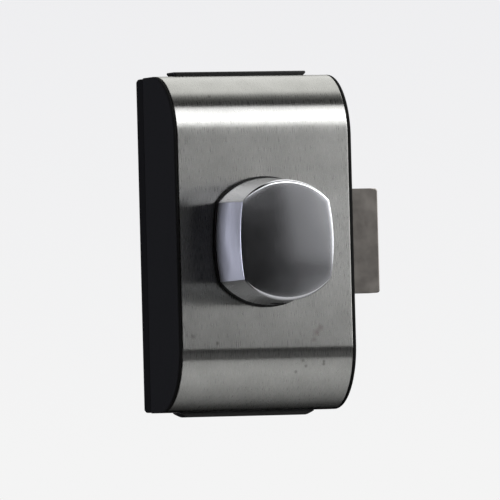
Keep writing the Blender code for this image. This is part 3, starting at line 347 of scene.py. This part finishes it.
def makeSoftbox(name):
    side, rise, distance, width, height, watts = studio["softboxes"][name]
    side, rise = math.radians(side), math.radians(rise)
    away = Vector((math.sin(side) * math.cos(rise), -math.cos(side) * math.cos(rise), math.sin(rise)))
    light = bpy.data.lights.new(name, "AREA")
    light.shape = "RECTANGLE"
    light.size, light.size_y, light.energy = width, height, watts
    lamp = bpy.data.objects.new(name, light)
    lamp.location = away * distance
    lamp.rotation_mode = "QUATERNION"
    lamp.rotation_quaternion = away.to_track_quat("Z", "Y")
    bpy.context.scene.collection.objects.link(lamp)


makeWorld()
makeFloor()
for softbox in studio["softboxes"]:
    makeSoftbox(softbox)
bpy.context.scene.view_settings.view_transform = "Standard"
print("studio made")


# Materials

grainMap = "grain"  # the UV map that the cover gets
noiseLow, noiseHigh = 0.3, 0.7  # nearly all of a noise texture's values lie between these
toneLow, toneHigh = 0.35, 0.65  # the same for colours, cut off a little earlier

stainless = {
    "pale": "#c2c2c0",
    "dark": "#acacaa",
    "roughness": 0.29,
    "roughnessSpread": 0.025,
    "anisotropic": 1.0,
    "grainWidth": 0.12 * mm,  # a real belt leaves lines of 0.02 mm, drawn coarser to show
    "grainLength": 3.0 * mm,
    "cloud": 9.0 * mm,  # faint patches where the belt pressed harder
    "cloudShare": 0.35,
    "bumpStrength": 0.15,
    "bumpDepth": 0.004 * mm,
    # dirt: place across and up the sheet and radius, in mm, and how much of its colour shows
    "speck": "#4a4740",
    "specks": [(-24.4, -28.8, 1.1, 0.45), (-16.4, -31.0, 0.9, 0.6), (11.5, -36.9, 0.8, 0.5),
               (12.6, -38.7, 0.8, 0.5), (9.5, -40.5, 0.9, 0.5), (18.4, -37.3, 0.8, 0.6),
               (18.4, -38.2, 0.8, 0.6), (-15.5, 46.3, 0.9, 0.5)],
    "smudge": "#6b5153",
    "smudges": [(17.3, -26.8, 1.6, 0.4), (16.1, -28.3, 1.7, 0.45), (15.1, -30.5, 1.1, 0.4)],
}


def brushedStainless():
    # 304 sheet, belt-brushed top to bottom: lamps smear sideways and stay sharp along the grain
    material, tree, shader = startMaterial("brushed 304 stainless",
                                           {"Metallic": 1.0, "Anisotropic": stainless["anisotropic"]})
    grainUv = add(tree, "ShaderNodeUVMap", uv_map=grainMap).outputs[0]
    perMetre = (1 / stainless["grainWidth"], 1 / stainless["grainLength"], 1.0)
    lines = add(tree, "ShaderNodeVectorMath", {0: grainUv, 1: perMetre}, operation="MULTIPLY")
    fine = add(tree, "ShaderNodeTexNoise", {"Vector": lines.outputs[0], "Scale": 1.0, "Detail": 2.0,
               "Roughness": 0.5}, noise_dimensions="2D")
    cloudUv = add(tree, "ShaderNodeVectorMath", {0: grainUv, 3: 1 / stainless["cloud"]}, operation="SCALE")
    cloud = add(tree, "ShaderNodeTexNoise", {"Vector": cloudUv.outputs[0], "Scale": 1.0, "Detail": 4.0,
                "Roughness": 0.55}, noise_dimensions="2D")
    blend = add(tree, "ShaderNodeMix", {0: stainless["cloudShare"], 2: fine.outputs[0], 3: cloud.outputs[0]},
                data_type="FLOAT")
    tone = add(tree, "ShaderNodeMapRange", {0: blend.outputs[0], 1: toneLow, 2: toneHigh})
    colour = add(tree, "ShaderNodeMix", {0: tone.outputs[0], 6: fromHex(stainless["dark"]),
                 7: fromHex(stainless["pale"])}, data_type="RGBA")
    spots = [(*spot, stainless["speck"]) for spot in stainless["specks"]]
    spots += [(*spot, stainless["smudge"]) for spot in stainless["smudges"]]
    for across, along, radius, share, dirtColour in spots:
        spotPlace = (across * mm, along * mm, 0)
        gap = add(tree, "ShaderNodeVectorMath", {0: grainUv, 1: spotPlace}, operation="DISTANCE")
        dirt = add(tree, "ShaderNodeMapRange",
                   {0: gap.outputs["Value"], 1: 0.0, 2: radius * mm, 3: share, 4: 0.0},
                   interpolation_type="SMOOTHSTEP")
        colour = add(tree, "ShaderNodeMix",
                     {0: dirt.outputs[0], 6: colour.outputs[2], 7: fromHex(dirtColour)}, data_type="RGBA")
    tree.links.new(colour.outputs[2], shader.inputs["Base Color"])
    middle, spread = stainless["roughness"], stainless["roughnessSpread"]
    rough = add(tree, "ShaderNodeMapRange",
                {0: fine.outputs[0], 1: noiseLow, 2: noiseHigh, 3: middle - spread, 4: middle + spread})
    tree.links.new(rough.outputs[0], shader.inputs["Roughness"])
    tangent = add(tree, "ShaderNodeTangent", direction_type="UV_MAP", uv_map=grainMap)
    tree.links.new(tangent.outputs[0], shader.inputs["Tangent"])
    bump = add(tree, "ShaderNodeBump", {"Strength": stainless["bumpStrength"],
               "Distance": stainless["bumpDepth"], "Height": fine.outputs[0]})
    tree.links.new(bump.outputs[0], shader.inputs["Normal"])
    return material


moulded = {
    "grit": 0.25 * mm,  # a spark-eroded mould leaves about 0.1 mm, drawn coarser to show
    "gritDepth": 0.006 * mm,
    "gritStrength": 0.6,
    "roughnessSpread": 0.05,
    "ior": 1.54,
    # colour, roughness and specular level of each plastic
    "black moulded ABS": ("#171717", 0.75, 0.05),  # cheeks: deep black that never shines
    "black ABS strip": ("#0c0c0d", 0.45, 0.3),  # cap strips and skirt: blacker, with a soft sheen
    "black ABS shaded copy": ("#0c0c0c", 0.8, 0.05),  # base plate: the darkest, the cheeks' black plastic painted darker as painted shade on the lock's rear strip; quite dull
    "black EPDM rubber": ("#101010", 0.85, 0.05),  # gasket: dull, a shade greyer
    "natural nylon": ("#dcd8cc", 0.5, 0.4),  # spindle bush: milky, with a waxy sheen
}


def mouldedPlastic(name):
    # an injection moulding or a rubber sheet: a fine even grit breaks up every highlight
    colour, roughness, specular = moulded[name]
    material, tree, shader = startMaterial(name, {
        "Base Color": fromHex(colour), "Roughness": roughness, "Specular IOR Level": specular,
        "IOR": moulded["ior"]})
    place = add(tree, "ShaderNodeTexCoord").outputs["Object"]
    grit = add(tree, "ShaderNodeTexNoise", {"Vector": place, "Scale": 1 / moulded["grit"], "Detail": 2.0})
    bump = add(tree, "ShaderNodeBump", {"Strength": moulded["gritStrength"],
               "Distance": moulded["gritDepth"], "Height": grit.outputs[0]})
    tree.links.new(bump.outputs[0], shader.inputs["Normal"])
    spread = moulded["roughnessSpread"]
    rough = add(tree, "ShaderNodeMapRange",
                {0: grit.outputs[0], 1: noiseLow, 2: noiseHigh, 3: roughness - spread, 4: roughness + spread})
    tree.links.new(rough.outputs[0], shader.inputs["Roughness"])
    return material


chrome = {
    "colour": "#d3d4d9",
    # roughness of the domed face, of the round sides and of the two flats
    "face": 0.2,
    "arc": 0.14,
    "flat": 0.4,
    # how squarely the surface looks to the user, or sideways, where the finishes change
    "faceTurn": (-0.95, -0.5),
    "flatTurn": (0.9, 0.95),
    "cloud": 7.0 * mm,  # patches left by polishing by hand
    "cloudSpread": 0.08,
    # painted shade: inside the grub screw's hole the colour is painted near black, to this far outside the
    # screw
    "bare": "#1c1c1e",
    "bareMargin": 0.2 * mm,
}


def chromePlate():
    # decorative chrome on a die casting: near mirror-like on its face and round sides, and satin on
    # its flats, which show one even tone
    material, tree, shader = startMaterial("satin chrome plate", {"Metallic": 1.0})
    coordinates = add(tree, "ShaderNodeTexCoord")
    place = coordinates.outputs["Object"]
    # painted shade: below the axis and near the grub screw's axis, the chrome's colour turns near black
    screwLow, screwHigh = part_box("knob_grub_screw")
    screwAxis = (0.0, (screwLow.y + screwHigh.y) / 2, 0.0)
    level = add(tree, "ShaderNodeVectorMath", {0: place, 1: (1.0, 1.0, 0.0)}, operation="MULTIPLY")
    away = add(tree, "ShaderNodeVectorMath", {0: level.outputs[0], 1: screwAxis}, operation="DISTANCE")
    near = add(tree, "ShaderNodeMath", {0: away.outputs["Value"], 1: screwHigh.x + chrome["bareMargin"]},
               operation="LESS_THAN")
    height = add(tree, "ShaderNodeSeparateXYZ", {0: place}).outputs["Z"]
    below = add(tree, "ShaderNodeMath", {0: height, 1: 0.0}, operation="LESS_THAN")
    hole = add(tree, "ShaderNodeMath", {0: near.outputs[0], 1: below.outputs[0]}, operation="MULTIPLY")
    tone = add(tree, "ShaderNodeMix", {0: hole.outputs[0], 6: fromHex(chrome["colour"]),
               7: fromHex(chrome["bare"])}, data_type="RGBA")
    tree.links.new(tone.outputs[2], shader.inputs["Base Color"])
    cloud = add(tree, "ShaderNodeTexNoise", {"Vector": place, "Scale": 1 / chrome["cloud"], "Detail": 5.0})
    spread = chrome["cloudSpread"]
    cloudy = add(tree, "ShaderNodeMapRange",
                 {0: cloud.outputs[0], 1: noiseLow, 2: noiseHigh, 3: 1 - spread, 4: 1 + spread})
    axes = add(tree, "ShaderNodeSeparateXYZ", {0: coordinates.outputs["Normal"]})
    aside = add(tree, "ShaderNodeMath", {0: axes.outputs["X"]}, operation="ABSOLUTE")
    start, end = chrome["flatTurn"]
    sides = add(tree, "ShaderNodeMapRange",
                {0: aside.outputs[0], 1: start, 2: end, 3: chrome["arc"], 4: chrome["flat"]})
    start, end = chrome["faceTurn"]
    finish = add(tree, "ShaderNodeMapRange",
                 {0: axes.outputs["Y"], 1: start, 2: end, 3: chrome["face"], 4: sides.outputs[0]})
    rough = add(tree, "ShaderNodeMath", {0: cloudy.outputs[0], 1: finish.outputs[0]}, operation="MULTIPLY")
    tree.links.new(rough.outputs[0], shader.inputs["Roughness"])
    return material


metals = {
    "smoother": 0.05,  # a metal's roughness runs from this much below its value
    "rougher": 0.07,  # to this much above it
    "bumpStrength": 0.5,
    # colour, roughness, cloud size, how much the colour varies, and bump depth of each metal
    "satin bolt steel": ("#7b7773", 0.42, 5.0 * mm, 0.12, 0.003 * mm),  # ground: warm grey, slightly blotchy
    "cast zinc": ("#8f9093", 0.5, 1.2 * mm, 0.15, 0.02 * mm),  # die cast: matt, with a fine orange peel
    "bright zinc plate": ("#b9bab2", 0.32, 3.0 * mm, 0.08, 0.004 * mm),  # plated: light, faintly yellow
    "blackened steel": ("#2a2a2b", 0.4, 2.0 * mm, 0.15, 0.004 * mm),  # oiled: nearly black, soft glints
}


def plainMetal(name):
    # a metal with a cloudy surface
    colour, roughness, cloudSize, spread, bumpDepth = metals[name]
    material, tree, shader = startMaterial(name, {"Metallic": 1.0})
    place = add(tree, "ShaderNodeTexCoord").outputs["Object"]
    cloud = add(tree, "ShaderNodeTexNoise", {"Vector": place, "Scale": 1 / cloudSize, "Detail": 6.0,
                "Roughness": 0.6})
    base = fromHex(colour)[:3]
    low = (*(channel * (1 - spread) for channel in base), 1.0)
    high = (*(channel * (1 + spread) for channel in base), 1.0)
    tone = add(tree, "ShaderNodeMapRange", {0: cloud.outputs[0], 1: toneLow, 2: toneHigh})
    mixed = add(tree, "ShaderNodeMix", {0: tone.outputs[0], 6: low, 7: high}, data_type="RGBA")
    tree.links.new(mixed.outputs[2], shader.inputs["Base Color"])
    rough = add(tree, "ShaderNodeMapRange", {0: cloud.outputs[0], 1: noiseLow, 2: noiseHigh,
                3: roughness - metals["smoother"], 4: roughness + metals["rougher"]})
    tree.links.new(rough.outputs[0], shader.inputs["Roughness"])
    bump = add(tree, "ShaderNodeBump", {"Strength": metals["bumpStrength"], "Distance": bumpDepth,
               "Height": cloud.outputs[0]})
    tree.links.new(bump.outputs[0], shader.inputs["Normal"])
    return material


steelFinish = brushedStainless()
plastic = mouldedPlastic("black moulded ABS")
darkPlastic = mouldedPlastic("black ABS strip")
shadedBasePlastic = mouldedPlastic("black ABS shaded copy")
rubber = mouldedPlastic("black EPDM rubber")
satinChrome = chromePlate()
boltSteel = plainMetal("satin bolt steel")
castZinc = plainMetal("cast zinc")
zincPlate = plainMetal("bright zinc plate")
blackSteel = plainMetal("blackened steel")
nylon = mouldedPlastic("natural nylon")
print("materials made")


# Cover

cover = {
    "bendRadius": 19.8 * mm, "bendSteps": 72,
    "sheet": 1.2 * mm,
    "edge": 0.22 * mm, "edgeSteps": 3,  # the deburred edges along both sides
    "hole": 8.2 * mm, "holeSteps": 96, "holeDepth": 3.0 * mm,  # for the spindle, under the knob
}

coverLow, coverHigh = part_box("cover_shell")
coverFront, coverRear, coverHalf, coverEdge = coverLow.y, coverHigh.y, coverHigh.z, coverHigh.x
bendY, bendZ = coverFront + cover["bendRadius"], coverHalf - cover["bendRadius"]


def coverPath(inset, rear=coverRear):
    # the cover's section in (y, z), from its lower rear edge over the front to its upper one
    radius = cover["bendRadius"] - inset
    path = [(rear, inset - coverHalf)]
    path += arc((bendY, -bendZ), radius, -quarter, -2 * quarter, cover["bendSteps"])
    path += arc((bendY, bendZ), radius, 2 * quarter, quarter, cover["bendSteps"])
    path.append((rear, coverHalf - inset))
    return path


def alongCover(point):
    # a point's place on the sheet laid flat: across it, and up along its bent section
    if abs(point.z) <= bendZ:
        return point.x, point.z
    side = 1 if point.z >= 0 else -1
    if point.y >= bendY:
        return point.x, side * (bendZ + cover["bendRadius"] * quarter + point.y - bendY)
    angle = math.atan2(abs(point.z) - bendZ, bendY - point.y)
    return point.x, side * (bendZ + cover["bendRadius"] * angle)


def paintGrain(mesh):
    uv = mesh.uv_layers.new(name=grainMap)
    for loop in mesh.loops:
        uv.data[loop.index].uv = alongCover(mesh.vertices[loop.vertex_index].co)


def makeCover():
    stations = [(coverEdge - back, inset) for inset, back in roundedSteps(cover["edge"], cover["edgeSteps"])]
    stations.append((coverEdge - cover["edge"] - support, 0.0))
    stations = [(-x, inset) for x, inset in stations] + stations[::-1]
    sections = []
    for x, inset in stations:
        section = coverPath(inset) + coverPath(cover["sheet"] - inset)[::-1]
        sections.append([(x, y, z) for y, z in section])
    piece = makeObject("cover_sheet", loft(sections))
    holeEnd = coverFront + cover["holeDepth"]
    combine(piece, rod(cover["hole"], coverFront - overcut, holeEnd, cover["holeSteps"]))
    paintGrain(piece.data)
    dress(piece, steelFinish, "lock_body", "cover_shell")


makeCover()
print("cover made")


# Cheeks

cheek = {
    "rim": 1.0 * mm,  # how far it stands past the sheet's edge
    "plate": 2.0 * mm,  # how thick it is
    "edge": 0.6 * mm, "edgeSteps": 6,
    "fit": 1.4 * mm,  # how far inside the cover's outline the rest of it lies
    "lipWall": 1.5 * mm, "lipDepth": 2.8 * mm,  # the lip that reaches in under the sheet
    "overlap": 0.3 * mm,
    # the slot that the bolt comes out of; the bolt's tail is higher than its head
    "boltHalfHeight": 16.25 * mm, "slotGap": 0.4 * mm, "slotCorner": 0.8 * mm, "cornerSteps": 8,
    "slotDepth": 6.0 * mm,
}


def makeCheek(name, sign):
    # both are built as the right one, and the left one is mirrored
    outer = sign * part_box(name)[1 if sign > 0 else 0].x
    rounding = [(cheek["edge"] + support, 0.0)] + roundedSteps(cheek["edge"], cheek["edgeSteps"])
    rounding.append((0.0, cheek["edge"] + support))
    sections = [[(outer - back, y, z) for y, z in coverPath(inset, coverRear - inset)]
                for inset, back in rounding]
    sections.append([(outer - cheek["rim"], y, z) for y, z in coverPath(0)])
    piece = makeObject(f"{name}_moulding", loft(sections))
    plateEnds = (outer - cheek["plate"], outer - cheek["rim"] + cheek["overlap"])
    combine(piece, prism(coverPath(cheek["fit"]), 0, plateEnds), "UNION")
    lipOutline = coverPath(cheek["fit"]) + coverPath(cheek["fit"] + cheek["lipWall"])[::-1]
    lipEnds = (outer - cheek["plate"] - cheek["lipDepth"], outer - cheek["plate"] + cheek["overlap"])
    combine(piece, prism(lipOutline, 0, lipEnds), "UNION")
    if sign > 0:
        boltLow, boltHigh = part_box("deadbolt")
        gap = cheek["slotGap"]
        half = cheek["boltHalfHeight"] + gap
        slot = roundedRectangle(boltLow.y - gap, boltHigh.y + gap, -half, half, cheek["slotCorner"],
                                cheek["cornerSteps"])
        combine(piece, prism(slot, 0, (outer - cheek["slotDepth"], outer + overcut)))
    else:
        piece.data.transform(Matrix.Scale(-1, 4, (1, 0, 0)))
        piece.data.flip_normals()
    dress(piece, plastic, "lock_body", name)


makeCheek("left_cheek", -1)
makeCheek("right_cheek", 1)
print("cheeks made")


# Knob

knob = {
    # outline at the back: the round part's radius, half the width over the flats, the radius that
    # the flats bow by, and the rounding of the corners between
    "radius": 19.75 * mm, "flat": 16.6 * mm, "bow": 69.0 * mm, "corner": 0.35 * mm,
    "draft": 1.3 * mm, "flatDraft": 1.5 * mm,  # how far the sides close in towards the face
    "crown": 1.6 * mm,  # how far the dome falls away at the knob's radius
    # the rounding round the face, above and below, at the left and at the right, and at the back
    "arcEdge": 1.1 * mm, "leftEdge": 0.15 * mm, "rightEdge": 0.5 * mm, "rearEdge": 0.2 * mm,
    "arcSteps": 48, "flatSteps": 16, "cornerSteps": 4, "crownSteps": 12, "edgeSteps": 8, "rearSteps": 3,
    # the hollow back: walls, a boss round the spindle, and ribs, the lower one wide for the grub screw
    "wall": 3.0 * mm, "faceWall": 3.0 * mm, "ribRecess": 2.2 * mm, "overlap": 0.4 * mm,
    "boss": 7.1 * mm, "rib": 1.8 * mm, "grubRib": 8.0 * mm,
    "grubHole": 2.12 * mm, "grubSetback": 8.0 * mm, "grubSeat": 3.3 * mm,
    "socket": 4.92 * mm, "socketDepth": 13.0 * mm, "socketFlat": 3.82 * mm,  # for the spindle
    "holeSteps": 32,
}


def knobOutline(radius, flat, corner):
    # a circle cut by two slightly swollen sides, in (x, z), with its four corners rounded
    offset = knob["bow"] - flat
    innerBow, innerRadius = knob["bow"] - corner, radius - corner
    x = (innerBow ** 2 - innerRadius ** 2 - offset ** 2) / (2 * offset)
    z = math.sqrt(innerRadius ** 2 - x ** 2)
    sideAngle, topAngle = math.atan2(z, x + offset), math.atan2(z, x)
    half = arc((-offset, 0), knob["bow"], -sideAngle, sideAngle, knob["flatSteps"])
    half += arc((x, z), corner, sideAngle, topAngle, knob["cornerSteps"])[1:]
    half += arc((0, 0), radius, topAngle, math.pi - topAngle, knob["arcSteps"])[1:]
    half += arc((-x, z), corner, math.pi - topAngle, math.pi - sideAngle, knob["cornerSteps"])[1:-1]
    return half + [(-u, -v) for u, v in half]


def knobRing(y, share, inset):
    # the outline at a depth: share 0 at the back, 1 at the face
    radius = knob["radius"] - knob["draft"] * share - inset
    flat = knob["flat"] - knob["flatDraft"] * share - inset
    return [(x, y, z) for x, z in knobOutline(radius, flat, knob["corner"])]


def knobEdge(ring):
    # the rounding's size at each point of the face's outline: widest in the middle of the round
    # parts, and least along the flats
    x, y, z = ring[knob["flatSteps"]]
    turn = math.atan2(z, x)
    sizes = []
    for x, y, z in ring:
        share = max(0.0, (math.atan2(abs(z), abs(x)) - turn) / (quarter - turn))
        least = knob["leftEdge"] if x < 0 else knob["rightEdge"]
        sizes.append(least + (knob["arcEdge"] - least) * math.sin(share * quarter))
    return sizes


def knobSections(face, rear):
    # rings from the back edge over the drafted sides and the rounding to the middle of the dome
    height = rear - face
    bulge = knob["crown"] / knob["radius"] ** 2
    rearRounding = roundedSteps(knob["rearEdge"], knob["rearSteps"]) + [(0.0, knob["rearEdge"] + support)]
    sections = [knobRing(rear - back, back / height, inset) for inset, back in rearRounding]
    # the outline, and the same 1 mm further in, give each point its way inwards
    rim, inner = (knobRing(0, 1 - knob["crown"] / height, inset) for inset in (0.0, mm))
    edges = knobEdge(rim)
    for inward, back in [(0.0, 1 + support / knob["arcEdge"])] + roundedSteps(1.0, knob["edgeSteps"])[::-1]:
        ring = []
        for (x, y, z), (innerX, y, innerZ), edge in zip(rim, inner, edges):
            shift = edge * (inward - back * knob["draft"] / height) / mm
            x, z = x + (innerX - x) * shift, z + (innerZ - z) * shift
            ring.append((x, face + bulge * (x ** 2 + z ** 2) + edge * back, z))
        sections.append(ring)
    outline = sections[-1]
    for step in range(1, knob["crownSteps"]):
        share = 1 - step / knob["crownSteps"]
        sections.append([(x * share, face + bulge * share ** 2 * (x ** 2 + z ** 2), z * share)
                         for x, y, z in outline])
    return sections


def knobPocket(rear, floor):
    # the hollow behind the face, less the boss round the spindle and its four ribs
    recess = rear - knob["ribRecess"]
    pocket = makeObject("pocket", loft([knobRing(y, share, knob["wall"])
                                        for y, share in ((recess + knob["overlap"], 0), (floor, 1))]))
    low, high, reach = floor - overcut, rear, knob["radius"]
    combine(pocket, rod(knob["boss"], low, high, knob["holeSteps"]))
    half, grubHalf = knob["rib"] / 2, knob["grubRib"] / 2
    combine(pocket, block((-reach, low, -half), (reach, high, half)))
    combine(pocket, block((-half, low, 0), (half, high, reach)))
    combine(pocket, block((-grubHalf, low, -reach), (grubHalf, high, 0)))
    bm = bmesh.new()
    bm.from_mesh(pocket.data)
    bpy.data.objects.remove(pocket, do_unlink=True)
    return bm


def makeKnob():
    face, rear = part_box("knob")[0].y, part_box("knob")[1].y
    piece = makeObject("knob_casting", loft(knobSections(face, rear)))
    recess = rear - knob["ribRecess"]
    combine(piece, loft([knobRing(y, 0, knob["wall"]) for y in (rear + overcut, recess)]))
    combine(piece, knobPocket(rear, face + knob["faceWall"]))
    angle = math.asin(-knob["socketFlat"] / knob["socket"])
    socket = arc((0, 0), knob["socket"], angle, math.pi - angle, knob["holeSteps"])
    combine(piece, prism(socket, 1, (rear + overcut, recess - knob["socketDepth"])))
    grub = circle((0, rear - knob["grubSetback"]), knob["grubHole"], knob["holeSteps"])
    combine(piece, prism(grub, 2, (-knob["radius"] - overcut, -knob["grubSeat"])))
    dress(piece, satinChrome, "knob_body", "knob")


makeKnob()
print("knob made")


# Skirt under the knob

skirt = {
    "margin": 0.45 * mm,  # how far it stands out from the knob
    "edge": 0.15 * mm, "edgeSteps": 4, "corner": 0.8 * mm,
    "spigot": 12.7 * mm, "spigotWall": 1.4 * mm, "spigotHeight": 1.5 * mm, "overlap": 0.4 * mm,
    "bore": 4.92 * mm,
}


def makeSkirt():
    end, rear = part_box("knob_ring")[0].y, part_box("knob_ring")[1].y
    front = end + skirt["spigotHeight"]
    radius, flat = knob["radius"] + skirt["margin"], knob["flat"] + skirt["margin"]
    rounding = roundedSteps(skirt["edge"], skirt["edgeSteps"])
    stations = [(rear - back, inset) for inset, back in rounding]
    stations += [(front + back, inset) for inset, back in rounding[::-1]]
    sections = [[(x, y, z) for x, z in knobOutline(radius - inset, flat - inset, skirt["corner"])]
                for y, inset in stations]
    piece = makeObject("knob_skirt", loft(sections))
    steps = cover["holeSteps"]
    combine(piece, rod(skirt["spigot"], end, front + skirt["overlap"], steps), "UNION")
    combine(piece, rod(skirt["spigot"] - skirt["spigotWall"], end - overcut, front, steps))
    combine(piece, rod(skirt["bore"], end - overcut, rear + overcut, steps))
    dress(piece, darkPlastic, "knob_body", "knob_ring")


makeSkirt()
print("skirt made")


# Cap strips

caps = {
    "halfWidth": 3.7 * mm, "middle": -11.4 * mm, "corner": 0.6 * mm, "cornerSteps": 8,
    # mm up from the sheet, and how far in from the CAD strip's left end, right end and sides
    "top_cap_strip": [
        (0.02, 1.25, 0.7, 0.3), (0.3, 1.15, 0.5, 0.25), (0.6, 0.9, 0.15, 0.1), (0.95, 0.7, 0.02, 0.05),
        (1.25, 0.72, 0.02, 0.12), (1.37, 0.8, 0.1, 0.25), (1.43, 0.95, 0.3, 0.45)],
    "bottom_cap_strip": [
        (0.02, 0.0, 0.0, 0.0), (0.25, 0.05, 0.05, 0.0), (0.55, 0.5, 0.5, 0.05), (1.0, 1.4, 1.4, 0.15),
        (1.25, 1.9, 1.9, 0.25), (1.42, 2.35, 2.35, 0.4), (1.5, 2.8, 2.8, 0.6)],
}


def makeCap(name, sign):
    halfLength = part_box(name)[1].x
    sections = []
    for height, leftInset, rightInset, sideInset in caps[name]:
        left, right = leftInset * mm - halfLength, halfLength - rightInset * mm
        width = caps["halfWidth"] - sideInset * mm
        ring = roundedRectangle(left, right, caps["middle"] - width, caps["middle"] + width,
                                caps["corner"], caps["cornerSteps"])
        sections.append([(x, y, sign * (coverHalf + height * mm)) for x, y in ring])
    piece = makeObject(f"{name}_moulding", loft(sections))
    dress(piece, darkPlastic, "lock_body", name)


makeCap("top_cap_strip", 1)
makeCap("bottom_cap_strip", -1)
print("cap strips made")


# CAD pieces that keep their own shapes

slotMaterials = {
    "brushed_stainless": steelFinish, "black_moulded_plastic": plastic, "black_rubber": rubber,
    "chrome_plating": satinChrome, "satin_steel": boltSteel, "cast_zinc": castZinc,
    "zinc_plated_steel": zincPlate, "blackened_steel": blackSteel, "white_nylon": nylon,
}
for part in frame["record"]["subparts"]:
    # the base plate gets the darker copy of the cheeks' plastic: painted shade on the lock's rear strip
    finish = shadedBasePlastic if part["node"] == "base_plate" else slotMaterials[part["material_slot"]]
    finishMesh(nodes[part["node"]].data, finish)
print("CAD pieces finished")
